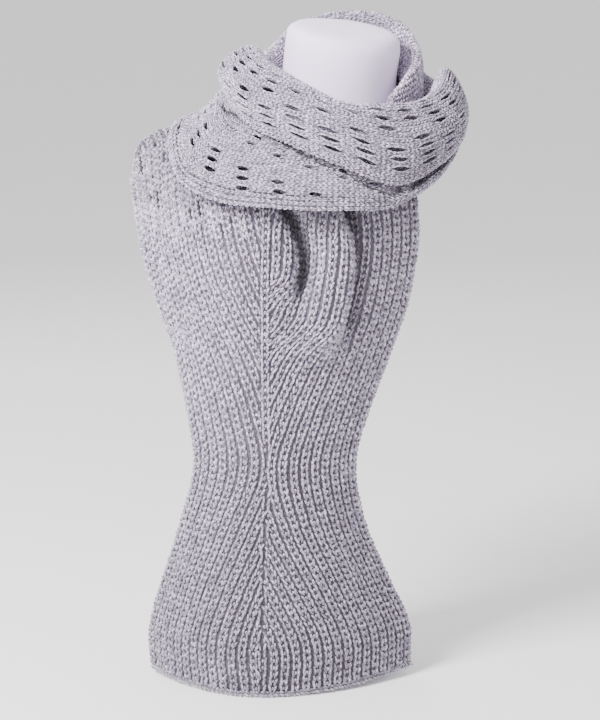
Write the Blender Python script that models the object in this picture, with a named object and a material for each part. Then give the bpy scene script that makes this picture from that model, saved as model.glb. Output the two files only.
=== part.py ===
"""A ribbed knit scarf wound twice round the neck of a slim display bust.

Metres, +Z up. The front faces -Y and the bust stands on z = 0 with its foot centred on the origin.
The scarf is one strip. It hangs as a tail in front, turns over the shoulder on the -X side, winds
round the neck and ends tucked in beside it. Each stretch that shows is one object.
"""
import math
from collections import namedtuple

import bmesh
import bpy
import numpy as np

MM = 0.001

# Cloth sizes
WALL = 3.0 * MM
SEAM_GAP = 0.4 * MM
REST_GAP = 0.4 * MM
RIB_PITCH = 11.0 * MM
RIB_HEIGHT = 1.9 * MM
SPINE_HEIGHT = 1.4 * MM
TAIL_ROW_STEP = 18.0 * MM
FACE_SAMPLES = 64

# Lace: open gaps stand in columns along the strip, in runs across it
COLUMN_PITCH = 28.5 * MM
GAP_LENGTH = 13.0 * MM
GAP_PITCH = 8.6 * MM
GAP_SHARE = 0.54
BORDER = 11.0 * MM
SLANT_PER_ROW = 1.1
SLANT_FADE = 20.0

# The neck's axis, which the strip is wound about
NECK_X = 40.0 * MM
NECK_Y = 0.0

# Bust
BUST_SIDES = 40
BUST_YAW = math.radians(20)
CAP_TILT_X = math.radians(6.5)
CAP_TILT_Y = math.radians(7.5)
CAP_Z = 634.0 * MM
CAP_TILT_FROM = 585.0 * MM

BustRow = namedtuple("BustRow", "z centre_x half_width half_depth")
BUST = [
    BustRow(0, 0, 77, 72),
    BustRow(6, 0, 81, 76),
    BustRow(18, 0, 81, 76),
    BustRow(60, 0, 71, 67),
    BustRow(120, 1, 57, 57),
    BustRow(200, 2, 49, 52),
    BustRow(260, 4, 50, 54),
    BustRow(320, 9, 62, 62),
    BustRow(380, 15, 75, 66),
    BustRow(430, 20, 84, 68),
    BustRow(470, 25, 91, 70),
    BustRow(502, 29, 92, 69),
    BustRow(524, 32, 80, 64),
    BustRow(544, 34, 66, 59.5),
    BustRow(566, 36, 58.5, 57),
    BustRow(600, 39, 56, 55.5),
    BustRow(626, 42, 56, 55.5),
    BustRow(634, 42.6, 55.2, 54.7),
]
RimRow = namedtuple("RimRow", "rise inset")
CAP_RIM = [RimRow(3.5, 2.6), RimRow(6.0, 6.6), RimRow(7.2, 12.5), RimRow(8.2, 30.0)]

# Tail: the left edge, the spine and the right edge at each row, from the hem up, in millimetres
TailRow = namedtuple("TailRow", "left_x left_y left_z spine_x spine_y spine_z right_x right_y right_z bow")
TAIL = [
    TailRow(-149, -45, 10, -37, -125, 5, 110, -50, 13, 2),
    TailRow(-151, -41, 45, -37, -122, 50, 109, -45, 52, 2),
    TailRow(-139, -48, 92, -36, -118, 101, 88.5, -50, 100, 2),
    TailRow(-119, -58, 156, -34, -112, 162, 63.5, -60, 162, 2),
    TailRow(-104, -68, 220, -32, -106, 222, 54.5, -66, 222, 2),
    TailRow(-110.5, -62, 273, -33, -104, 275, 68, -60, 274, 2),
    TailRow(-122.5, -50, 329, -33.5, -106, 329, 88, -52, 327, 2),
    TailRow(-140.5, -38, 376, -33.5, -110, 379, 105, -50, 378, 2),
    TailRow(-154.5, -26, 422, -33, -112, 427, 114, -52, 430, 2),
    TailRow(-162, -14, 462, -32, -108, 469, 114, -54, 470, 2),
    TailRow(-165, -8, 482, -34, -101, 497, 107, -57, 495, 2),
    TailRow(-166, -5, 490, -52, -88, 509, 76, -76, 512, 1.8),
    TailRow(-166, -2.5, 495, -84, -56, 521, 12, -82, 534, 2.2),
    TailRow(-165, -0.5, 497, -118, -0.5, 544, -56, -0.5, 546, 4),
]

# Folds of the tail's right half: centre line by distance from the right edge at three heights
Fold = namedtuple("Fold", "top_z middle_z low_z top_d middle_d low_d depth half_width")
TAIL_FOLDS = [
    Fold(482, 436, 372, 134, 117, 117, -22, 10.5),
    Fold(500, 420, 318, 108, 84, 86, 14, 24),
    Fold(490, 410, 330, 72, 60, 57, -14, 9),
    Fold(492, 472, 442, 77, 75, 74, -9, 7),
]
FOLD_FADE_FROM, FOLD_FADE_TO = 486.0 * MM, 515.0 * MM

# The wound strip: its cross-section at each turn angle, as radius and height of four lines along it.
# Turn 0 is over the -X shoulder, 90 behind, 180 at the +X side, 270 in front, 360 over that shoulder again.
WrapRow = namedtuple("WrapRow", "turn low_r low_z belly_r belly_z crest_r crest_z in_r in_z")
WRAP = [
    WrapRow(0, 205, 497, 199, 527, 170, 544, 96, 546),
    WrapRow(25, 195, 473, 188, 504, 150, 525, 96, 538),
    WrapRow(55, 161, 446, 160, 484, 129, 511, 92, 536),
    WrapRow(90, 134, 440, 141, 478, 118, 508, 88, 536),
    WrapRow(125, 123, 459, 130, 489, 111, 514, 85, 538),
    WrapRow(155, 117, 494, 118, 512, 104, 529, 86, 546),
    WrapRow(180, 116, 527, 111, 535, 101, 545, 89, 552),
    WrapRow(208, 121, 518, 116, 528, 103, 541, 89, 552),
    WrapRow(227, 125.5, 501, 120, 511, 103, 528, 88, 545),
    WrapRow(247, 128, 483, 121.5, 494, 105, 514, 88, 538),
    WrapRow(270, 134, 481, 127, 502, 107, 529, 88, 547),
    WrapRow(297, 147, 483, 140, 508, 110, 540, 88, 556),
    WrapRow(319, 164, 488, 151, 517, 110, 551, 87, 565),
    WrapRow(334, 174, 502, 157, 530, 109, 561, 87, 573),
    WrapRow(350, 171, 537, 148, 550, 112, 574, 87, 584),
    WrapRow(360, 164, 550, 141, 557, 116, 577, 87, 590),
    WrapRow(382, 160, 534, 147, 552, 115, 583, 93, 583),
    WrapRow(415, 151, 508, 148, 543, 116, 591, 95, 580),
    WrapRow(450, 142, 498, 147, 542, 116, 599, 95, 577),
    WrapRow(485, 132, 506, 141, 546, 113, 600, 94, 578),
    WrapRow(500, 128, 515, 136, 549, 112, 588, 93, 572),
    WrapRow(515, 125, 524, 131, 553, 110, 579, 92, 566),
    WrapRow(540, 121, 539, 124, 564, 100, 602, 88, 580),
    WrapRow(565, 124, 528, 127, 556, 100, 584, 84, 562),
    WrapRow(582, 126, 516, 128, 544, 96, 575, 80, 552),
    WrapRow(606, 127, 502, 129, 535, 91, 574, 75, 549),
    WrapRow(630, 124, 520, 127, 546, 86, 576, 70, 553),
    WrapRow(655, 120, 539, 125, 563, 82, 592, 68, 570),
    WrapRow(680, 117, 553, 123, 578, 80, 606, 67, 583),
    WrapRow(700, 114, 569, 120, 590, 82, 615, 67, 593),
    WrapRow(720, 110, 587, 118, 600, 85, 623, 68, 604),
    WrapRow(735, 103, 592, 106, 602, 83, 613, 67, 598),
    WrapRow(752, 90.5, 587, 95, 603, 80, 619, 66, 600),
    WrapRow(768, 86, 580, 89, 606, 78, 634, 65, 602),
    WrapRow(790, 84, 574, 88, 612, 77, 647, 65, 604),
    WrapRow(812, 83, 572, 87, 614, 76, 652, 65, 605),
    WrapRow(838, 83, 570, 88, 612, 79, 651, 65, 605),
    WrapRow(860, 81, 566, 88, 606, 80, 643, 64, 600),
    WrapRow(880, 79, 562, 86, 595, 81, 628, 64, 598),
    WrapRow(900, 77, 546, 82, 580, 79, 613, 63, 590),
    WrapRow(922, 73, 534, 77, 567, 74, 598, 63, 576),
    WrapRow(945, 71, 526, 73, 552, 70, 579, 64, 560),
]

# Cells across beside the lace, rows and columns of gaps (or cells along a plain one), and a gap's share of
# its full length
Stretch = namedtuple("Stretch", "name start end across lace_rows columns opening")
STRETCHES = [
    Stretch("under_wrap_back", 0, 180, 8, 0, 20, 0),
    Stretch("lower_wrap_front", 180, 360, 3, 7, 13, 0.66),
    Stretch("middle_wrap_back", 360, 540, 3, 8, 13, 1),
    Stretch("upper_wrap_front", 540, 720, 3, 8, 12, 1),
    Stretch("collar_wrap_back", 720, 900, 8, 0, 18, 0),
    Stretch("tucked_end", 900, 945, 6, 0, 5, 0),
]

# Turn angles between which the strip's inner edge rests on the bust's shoulders
REST_TURNS = (15.0, 165.0)

KNIT_COLOUR = (0.49, 0.48, 0.53, 1.0)
BUST_COLOUR = (0.86, 0.86, 0.89, 1.0)


def smooth(stations, values, at):
    """Columns of a table at any station, on a cubic curve through its rows."""
    s, v, at = np.asarray(stations, float), np.asarray(values, float), np.atleast_1d(at)
    slope = np.gradient(v, s, axis=0)
    k = np.clip(np.searchsorted(s, at, side="right") - 1, 0, len(s) - 2)
    h = (s[k + 1] - s[k])[:, None]
    x = ((at - s[k]) / (s[k + 1] - s[k]))[:, None]
    rise = x * x * (3 - 2 * x)
    bend = slope[k] * x * (1 - x) ** 2 - slope[k + 1] * x * x * (1 - x)
    return v[k] * (1 - rise) + v[k + 1] * rise + h * bend


def step(low, high, value):
    """0 below low, 1 above high, and a smooth rise between."""
    x = np.clip((value - low) / (high - low), 0, 1)
    return x * x * (3 - 2 * x)


def bust_section(z):
    """Centre and half sizes of the bust's ellipse at a height."""
    table = np.array([row[1:] for row in BUST]) * MM
    return smooth([row.z * MM for row in BUST], table, z)[0]


def bust_radius(theta, z):
    """Distance from the neck's axis to the bust's surface, at an angle and a height."""
    centre, width, depth = bust_section(z)
    origin = np.array([NECK_X - centre, NECK_Y])
    ray = np.array([math.sin(theta), -math.cos(theta)])
    turn = np.array([[math.cos(BUST_YAW), math.sin(BUST_YAW)], [-math.sin(BUST_YAW), math.cos(BUST_YAW)]])
    start, way = turn @ origin / (width, depth), turn @ ray / (width, depth)
    a, b, c = way @ way, start @ way, start @ start - 1
    return (-b + math.sqrt(b * b - a * c)) / a


def wrap_lines(turn):
    """The four section lines at a turn angle, as radius and height pairs in metres."""
    lines = smooth([row.turn for row in WRAP], [row[1:] for row in WRAP], turn)[0].reshape(4, 2) * MM
    first, last = REST_TURNS
    if first <= turn <= last:
        share = step(first, first + 20, turn) * (1 - step(last - 20, last, turn))
        slope = lines[3] - lines[2]
        inward = np.array([slope[1], -slope[0]]) / np.hypot(*slope) * WALL
        bust = bust_radius(math.radians(-90 - turn), lines[3, 1] - abs(inward[1]))
        lines[3, 0] += (bust + abs(inward[0]) + REST_GAP - lines[3, 0]) * share
    return lines


def wrap_faces(turn, shares):
    """Outer and inner points of the strip at a turn angle, at shares of the way up from its low edge."""
    lines = wrap_lines(turn)
    reach = np.concatenate([[0], np.cumsum(np.hypot(*np.diff(lines, axis=0).T))])
    at = np.asarray(shares) * reach[-1]
    outer = smooth(reach, lines, at)
    run = smooth(reach, lines, at + MM) - smooth(reach, lines, at - MM)
    outward = np.stack([run[:, 1], -run[:, 0]], axis=1) / np.hypot(*run.T)[:, None]
    theta = math.radians(-90 - turn)
    return [
        np.stack([NECK_X + r * math.sin(theta), NECK_Y - r * math.cos(theta), z], axis=-1)
        for r, z in (outer.T, (outer - outward * WALL).T)
    ]


def section_length(turn):
    """Length of the strip's section at a turn angle."""
    return np.hypot(*np.diff(wrap_lines(turn), axis=0).T).sum()


def wall_object(name, outer, inner, open_cells, material):
    """A closed wall between two grids of points, with rims round its edges and round its open cells.

    The inner grid may hold every second column of the outer one.
    """
    rows, columns = inner.shape[:2]
    ratio = (outer.shape[1] - 1) // (columns - 1)
    mesh = bmesh.new()
    front, back = ([[mesh.verts.new(p) for p in line] for line in grid] for grid in (outer, inner))

    def is_cell(i, j):
        return 0 <= i < rows - 1 and 0 <= j < columns - 1 and (i, j) not in open_cells

    for i in range(rows - 1):
        for j in range(columns - 1):
            if not is_cell(i, j):
                continue
            first, last = ratio * j, ratio * (j + 1)
            for k in range(first, last):
                mesh.faces.new([front[i][k], front[i][k + 1], front[i + 1][k + 1], front[i + 1][k]])
            mesh.faces.new([back[i + 1][j], back[i + 1][j + 1], back[i][j + 1], back[i][j]])
            if not is_cell(i - 1, j):
                mesh.faces.new([*reversed(front[i][first:last + 1]), back[i][j], back[i][j + 1]])
            if not is_cell(i + 1, j):
                mesh.faces.new([*front[i + 1][first:last + 1], back[i + 1][j + 1], back[i + 1][j]])
            if not is_cell(i, j - 1):
                mesh.faces.new([front[i][first], front[i + 1][first], back[i + 1][j], back[i][j]])
            if not is_cell(i, j + 1):
                mesh.faces.new([front[i + 1][last], front[i][last], back[i][j + 1], back[i + 1][j + 1]])
    bmesh.ops.remove_doubles(mesh, verts=mesh.verts, dist=0.02 * MM)
    loose = [v for v in mesh.verts if not v.link_faces]
    bmesh.ops.delete(mesh, geom=loose, context="VERTS")
    if mesh.calc_volume(signed=True) < 0:
        bmesh.ops.reverse_faces(mesh, faces=mesh.faces)
    return finished(name, mesh, material)


def finished(name, mesh, material):
    """An object from a bmesh, shaded smooth."""
    data = bpy.data.meshes.new(name)
    mesh.to_mesh(data)
    mesh.free()
    data.shade_smooth()
    data.set_sharp_from_angle(angle=math.radians(50))
    data.materials.append(material)
    obj = bpy.data.objects.new(name, data)
    bpy.context.scene.collection.objects.link(obj)
    return obj


def material_of(name, colour, roughness):
    """A plain Principled material."""
    material = bpy.data.materials.new(name)
    material.use_nodes = True
    shader = material.node_tree.nodes["Principled BSDF"]
    shader.inputs["Base Color"].default_value = colour
    shader.inputs["Roughness"].default_value = roughness
    shader.inputs["Metallic"].default_value = 0.0
    return material


def cap_lift(x, y, z):
    """Height added by the slant of the neck's flat cap, growing from CAP_TILT_FROM up."""
    share = step(CAP_TILT_FROM, CAP_Z, z)
    return share * (y * math.tan(CAP_TILT_Y) - (x - NECK_X) * math.tan(CAP_TILT_X))


def build_bust(material):
    """The bust: a stack of ellipses from the foot to the slanted cap of the neck."""
    rings = [(row.z * MM, *(np.array(row[1:]) * MM)) for row in BUST]
    top = BUST[-1]
    for rim in CAP_RIM:
        half = (top.half_width - rim.inset) * MM, (top.half_depth - rim.inset) * MM
        rings.append((CAP_Z + rim.rise * MM, top.centre_x * MM, *half))
    mesh = bmesh.new()
    loops = []
    for z, centre, width, depth in rings:
        loop = []
        for k in range(BUST_SIDES):
            a = 2 * math.pi * k / BUST_SIDES
            u, v = width * math.cos(a), depth * math.sin(a)
            x = centre + u * math.cos(BUST_YAW) - v * math.sin(BUST_YAW)
            y = u * math.sin(BUST_YAW) + v * math.cos(BUST_YAW)
            loop.append(mesh.verts.new((x, y, z + cap_lift(x, y, z))))
        loops.append(loop)
    for low, high in zip(loops, loops[1:]):
        for k in range(BUST_SIDES):
            n = (k + 1) % BUST_SIDES
            mesh.faces.new([low[k], low[n], high[n], high[k]])
    mesh.faces.new(list(reversed(loops[0])))
    mesh.faces.new(loops[-1])
    finished("display_bust", mesh, material)


def scale_at(turn):
    """Length that distances from the low edge are shares of, on one scale along the whole strip."""
    middles = [(stretch.start + stretch.end) / 2 for stretch in STRETCHES]
    return np.interp(turn, middles, [section_length(middle) for middle in middles])


def is_open(stretch, column, row):
    """Whether a lace column has a gap at a row."""
    if stretch.opening < 1:
        return (column * 7 + row * 3) % 5 not in (0, 2)
    return row != 3 + column % 2


def lace_layout(stretch):
    """Stations along a stretch, distances across it, and the cells that are open lace gaps."""
    gap = GAP_PITCH * GAP_SHARE
    across, band = [0.0], BORDER
    for _ in range(stretch.lace_rows):
        across += [band, band + gap]
        band += GAP_PITCH
    pitch = 1.0 / stretch.columns
    opening = stretch.opening * GAP_LENGTH / COLUMN_PITCH * pitch
    along, open_cells = [0.0], set()
    for column in range(stretch.columns):
        start = pitch * (column + 0.5) - opening / 2
        along += [start, start + opening]
        for row in range(stretch.lace_rows):
            if is_open(stretch, column, row):
                open_cells.add((1 + 2 * row, 1 + 2 * column))
    along.append(1.0)
    return along, across, {(column, row) for row, column in open_cells}


def slanted(stretch, turn, distance):
    """A turn angle moved by the slant of the lace columns, which fades out at the stretch's ends."""
    ends = step(stretch.start, stretch.start + SLANT_FADE, turn)
    ends *= 1 - step(stretch.end - SLANT_FADE, stretch.end, turn)
    return turn + SLANT_PER_ROW * ((distance - BORDER) / GAP_PITCH - 3) * ends


def build_stretch(stretch, material):
    """One stretch of the wound strip, cut through at its lace gaps."""
    along, distances, open_cells = np.linspace(0, 1, stretch.columns + 1), [], set()
    if stretch.lace_rows:
        along, distances, open_cells = lace_layout(stretch)
    edge = math.degrees(SEAM_GAP / 2 / (80 * MM))
    turns = stretch.start + edge + np.asarray(along) * (stretch.end - stretch.start - 2 * edge)
    grids = [], []
    for turn in turns:
        scale = scale_at(turn)
        shares = [distance / scale for distance in distances]
        first = shares[-1] + 0.03 if shares else 0.0
        shares += list(np.linspace(first, 1.0, stretch.across + (1 if not shares else 0)))
        faces = [[], []]
        for share in shares:
            moved = slanted(stretch, turn, share * scale) if distances else turn
            for face, points in zip(faces, wrap_faces(moved, [share])):
                face.append(points[0])
        for grid, face in zip(grids, faces):
            grid.append(face)
    outer, inner = (np.array(grid) for grid in grids)
    wall_object(stretch.name, outer, inner, open_cells, material)


def fold_offset(distance, z):
    """How far the folds of the tail's right half lift its face, at a distance from the right edge."""
    lift = np.zeros_like(distance)
    for fold in TAIL_FOLDS:
        heights = np.array([fold.low_z, fold.middle_z, fold.top_z]) * MM
        centre = smooth(heights, np.array([[fold.low_d], [fold.middle_d], [fold.top_d]]) * MM, z)[:, 0]
        spread = np.exp(-(((distance - centre) / (fold.half_width * MM)) ** 2))
        reach = step(heights[0], heights[0] + 45 * MM, z)
        lift += fold.depth * MM * spread * reach
    return lift * (1 - step(FOLD_FADE_FROM, FOLD_FADE_TO, z))


def tail_rails(row):
    """Left edge, spine and right edge of the tail at rows of its table, which may be fractions."""
    return smooth(range(len(TAIL)), TAIL, row)[:, :9].reshape(-1, 3, 3) * MM


def tail_surface(row, across):
    """Plain points of the tail, at a row each and a place across it: -1 left edge, 0 spine, 1 right."""
    rails = tail_rails(row)
    edge = np.where((across < 0)[:, None], rails[:, 0], rails[:, 2])
    share = 1 - np.abs(across)
    bow = 1 - (1 - share) ** np.interp(row, range(len(TAIL)), [r.bow for r in TAIL])
    return edge + (rails[:, 1] - edge) * np.stack([share, bow, bow], axis=1)


def tail_outward(row, across):
    """Unit directions out of the tail's plain face, level with the seam at its last row."""
    last = len(TAIL) - 1
    rise = tail_surface(np.minimum(row + 0.05, last), across) - tail_surface(row - 0.05, across)
    run = tail_surface(row, np.minimum(across + 0.06, 1)) - tail_surface(row, np.maximum(across - 0.06, -1))
    outward = np.cross(run, rise)
    outward[:, 1] *= row < last
    return outward / np.linalg.norm(outward, axis=1, keepdims=True)


def tail_face(row, across):
    """Points of the tail's face with its folds, and the directions out of it."""
    rails = tail_rails(row)
    width = np.hypot(*(rails[:, 1] - rails[:, 2])[:, :2].T)
    folds = fold_offset((1 - across) * width, rails[:, 1, 2]) * step(0, 0.08, across)
    outward = tail_outward(row, across)
    return tail_surface(row, across) + outward * folds[:, None], outward


def tail_half(side, rows):
    """Places across and lifts of one half's ribs at each row, which stop where they reach the spine.

    The ribs keep their distance from the side edge, measured along the face.
    """
    samples = np.linspace(1, 0, FACE_SAMPLES + 1)
    reaches = []
    for row in rows:
        points, _ = tail_face(np.full(len(samples), row), side * samples)
        reaches.append(np.concatenate([[0], np.cumsum(np.linalg.norm(np.diff(points, axis=0), axis=1))]))
    widest = max(reach[-1] for reach in reaches)
    inward = np.arange(2 * math.ceil(widest / RIB_PITCH) + 1) * RIB_PITCH / 2
    places = np.array([np.interp(inward, reach, samples) for reach in reaches])
    lift = np.where(places > 0, np.where(np.arange(len(inward)) % 2, RIB_HEIGHT, 0), SPINE_HEIGHT)
    return side * places, lift


def build_tail(material):
    """The tail: two halves of ribs parallel to their outer edges, which meet at the spine."""
    last = len(TAIL) - 1
    spine = tail_rails(np.arange(last + 1))[:, 1]
    reach = np.concatenate([[0], np.cumsum(np.linalg.norm(np.diff(spine, axis=0), axis=1))])
    stations = np.linspace(0, reach[-1], int(reach[-1] / TAIL_ROW_STEP) + 1)
    rows = np.interp(stations, reach, range(last + 1))
    left, right = tail_half(-1, rows), tail_half(1, rows)
    across, lift = (np.concatenate([a, b[:, -2::-1]], axis=1) for a, b in zip(left, right))
    face, outward = tail_face(np.repeat(rows, across.shape[1]), across.ravel())
    face, outward = face.reshape(*across.shape, 3), outward.reshape(*across.shape, 3)
    flattened = 1 - step(last - 3, last - 2, rows)[:, None, None]
    outer = face + outward * lift[..., None] * flattened
    wall_object("tail_front", outer, (face - outward * WALL)[:, ::2], set(), material)


def main():
    for old in list(bpy.data.objects):
        bpy.data.objects.remove(old)
    knit = material_of("grey_knit", KNIT_COLOUR, 0.95)
    jersey = material_of("white_jersey", BUST_COLOUR, 0.7)
    build_bust(jersey)
    build_tail(knit)
    for stretch in STRETCHES:
        build_stretch(stretch, knit)


main()
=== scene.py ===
"""A chunky heathered knit scarf wound twice round the neck of a slim white jersey bust.

Metres, +Z up, front -Y. The scarf is one strip: a tail in front, then two turns round the neck and a tucked
end. Each stretch is a thin closed cloth shell with its knitted stitches, leg by leg, laid on its surface.
"""

import logging
import math
from dataclasses import dataclass, field
from enum import Enum
from typing import Callable, Iterable, NamedTuple, Union

import bpy
import numpy as np
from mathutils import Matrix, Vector


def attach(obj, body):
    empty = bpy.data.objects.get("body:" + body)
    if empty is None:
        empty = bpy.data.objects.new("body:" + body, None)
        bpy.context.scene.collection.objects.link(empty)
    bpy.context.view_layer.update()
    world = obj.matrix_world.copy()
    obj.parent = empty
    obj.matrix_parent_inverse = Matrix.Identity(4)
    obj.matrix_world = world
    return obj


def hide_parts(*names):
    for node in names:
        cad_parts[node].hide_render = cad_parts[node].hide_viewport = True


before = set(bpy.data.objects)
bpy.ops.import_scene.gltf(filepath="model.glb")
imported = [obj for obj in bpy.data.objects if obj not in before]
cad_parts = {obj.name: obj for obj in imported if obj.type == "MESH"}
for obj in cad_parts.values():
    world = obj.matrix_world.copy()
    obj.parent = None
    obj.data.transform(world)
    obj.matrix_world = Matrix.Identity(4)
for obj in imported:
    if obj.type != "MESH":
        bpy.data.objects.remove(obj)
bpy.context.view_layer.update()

MM = 0.001
LOG = logging.getLogger("scarf")
Array = np.ndarray


# ---------------------------------------------------------------------------------------------
# Shader graph


class Graph:
    """The node tree of one material or world, built by expressions on sockets."""

    def __init__(self, tree: bpy.types.NodeTree) -> None:
        """Take over a node tree and empty it.

        Args:
            tree: The node tree to build in.
        """
        self.tree = tree
        tree.nodes.clear()

    def node(self, kind: str, settings: dict | None = None, sockets: dict | None = None) -> bpy.types.Node:
        """Add one node.

        Args:
            kind: The node's type name.
            settings: Properties set before its sockets. "stops" gives a ramp's positions and colours.
            sockets: Values or links by socket name or number.

        Returns:
            The new node.
        """
        node = self.tree.nodes.new(kind)
        for name, value in (settings or {}).items():
            if name == "stops":
                ramp = node.color_ramp
                while len(ramp.elements) < len(value):
                    ramp.elements.new(0.5)
                for element, (place, colour) in zip(ramp.elements, value):
                    element.position = place
                    element.color = colour
            else:
                setattr(node, name, value)
        for name, value in (sockets or {}).items():
            socket = node.inputs[name]
            if isinstance(value, Socket):
                self.tree.links.new(value.link, socket)
            else:
                socket.default_value = value
        return node

    def out(self, node: bpy.types.Node, name: Union[str, int] = 0) -> "Socket":
        """One output of a node, ready for expressions."""
        return Socket(self, node.outputs[name])

    def math(self, operation: str, *values: "Number") -> "Socket":
        """A Math node's result."""
        return self.out(self.node("ShaderNodeMath", {"operation": operation}, dict(enumerate(values))))

    def vector(self, operation: str, *values: object) -> "Socket":
        """A Vector Math node's result."""
        settings = {"operation": operation}
        return self.out(self.node("ShaderNodeVectorMath", settings, dict(enumerate(values))))

    def mix(self, share: "Number", low: object, high: object) -> "Socket":
        """A colour between two colours.

        Args:
            share: 0 for low, 1 for high.
            low: A colour or a link.
            high: A colour or a link.

        Returns:
            The mixed colour.
        """
        settings = {"data_type": "RGBA", "clamp_factor": True}
        return self.out(self.node("ShaderNodeMix", settings, {0: share, 6: low, 7: high}), 2)

    def noise(self, place: "Socket", scale: float, detail: float, roughness: float = 0.5) -> "Socket":
        """The value of a noise texture.

        Args:
            place: Where it is read.
            scale: Its scale, larger for finer noise.
            detail: Its octaves.
            roughness: Weight of the finer octaves.

        Returns:
            The value, about 0.5.
        """
        sockets = {"Vector": place, "Scale": scale, "Detail": detail, "Roughness": roughness}
        return self.out(self.node("ShaderNodeTexNoise", {}, sockets))

    def attribute(self, name: str) -> "Socket":
        """A number that the mesh carries at each point."""
        return self.out(self.node("ShaderNodeAttribute", {"attribute_name": name}), "Fac")

    def split(self, vector: "Socket") -> list["Socket"]:
        """The three parts of a vector."""
        node = self.node("ShaderNodeSeparateXYZ", {}, {0: vector})
        return [self.out(node, axis) for axis in range(3)]

    def bump(self, height: "Socket", strength: float, distance: float) -> "Socket":
        """The normal of a relief, by its strength and its depth in metres."""
        sockets = {"Strength": strength, "Distance": distance, "Height": height}
        return self.out(self.node("ShaderNodeBump", {}, sockets))


class Socket:
    """One output socket, with the arithmetic that adds Math nodes."""

    def __init__(self, graph: Graph, link: bpy.types.NodeSocket) -> None:
        """Wrap an output socket of a graph."""
        self.graph = graph
        self.link = link

    def __add__(self, other: "Number") -> "Socket":
        """Sum."""
        return self.graph.math("ADD", self, other)

    __radd__ = __add__

    def __sub__(self, other: "Number") -> "Socket":
        """Difference."""
        return self.graph.math("SUBTRACT", self, other)

    def __rsub__(self, other: "Number") -> "Socket":
        """Difference from a number."""
        return self.graph.math("SUBTRACT", other, self)

    def __mul__(self, other: "Number") -> "Socket":
        """Product."""
        return self.graph.math("MULTIPLY", self, other)

    __rmul__ = __mul__

    def sine(self) -> "Socket":
        """Sine of an angle in radians."""
        return self.graph.math("SINE", self)

    def ramp(self, low: float, high: float) -> "Socket":
        """0 below low, 1 above high and a smooth rise between.

        Args:
            low: Where the rise starts.
            high: Where the rise ends.

        Returns:
            The share.
        """
        settings = {"interpolation_type": "SMOOTHSTEP"}
        node = self.graph.node("ShaderNodeMapRange", settings, {0: self, 1: low, 2: high, 3: 0.0, 4: 1.0})
        return self.graph.out(node)


Number = Union[Socket, float, int]
Colour = tuple[float, float, float, float]


def grey(level: float, tint: float = 0.0) -> Colour:
    """A grey with a faint lilac tint, as a colour."""
    return (level * (1 - 0.25 * tint), level * (1 - tint), level * (1 + 0.5 * tint), 1.0)


class Finish:
    """What every finish shares: its slot and how its material is started.

    Attributes:
        name: The material's name.
        slot: The record's material slot, or nothing.
    """

    name: str
    slot: str

    def start(self) -> tuple[bpy.types.Material, Graph, "Socket"]:
        """A new material, its graph and the object coordinates.

        Returns:
            The material, its graph and a vector socket.
        """
        material = bpy.data.materials.new(self.name)
        material.use_nodes = True
        graph = Graph(material.node_tree)
        place = graph.out(graph.node("ShaderNodeTexCoord"), "Object")
        return material, graph, place

    @staticmethod
    def close(graph: Graph, shader: dict) -> None:
        """Add the shader with its sockets and the output."""
        principled = graph.node("ShaderNodeBsdfPrincipled", {}, shader)
        graph.node("ShaderNodeOutputMaterial", {}, {"Surface": graph.out(principled)})


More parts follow.
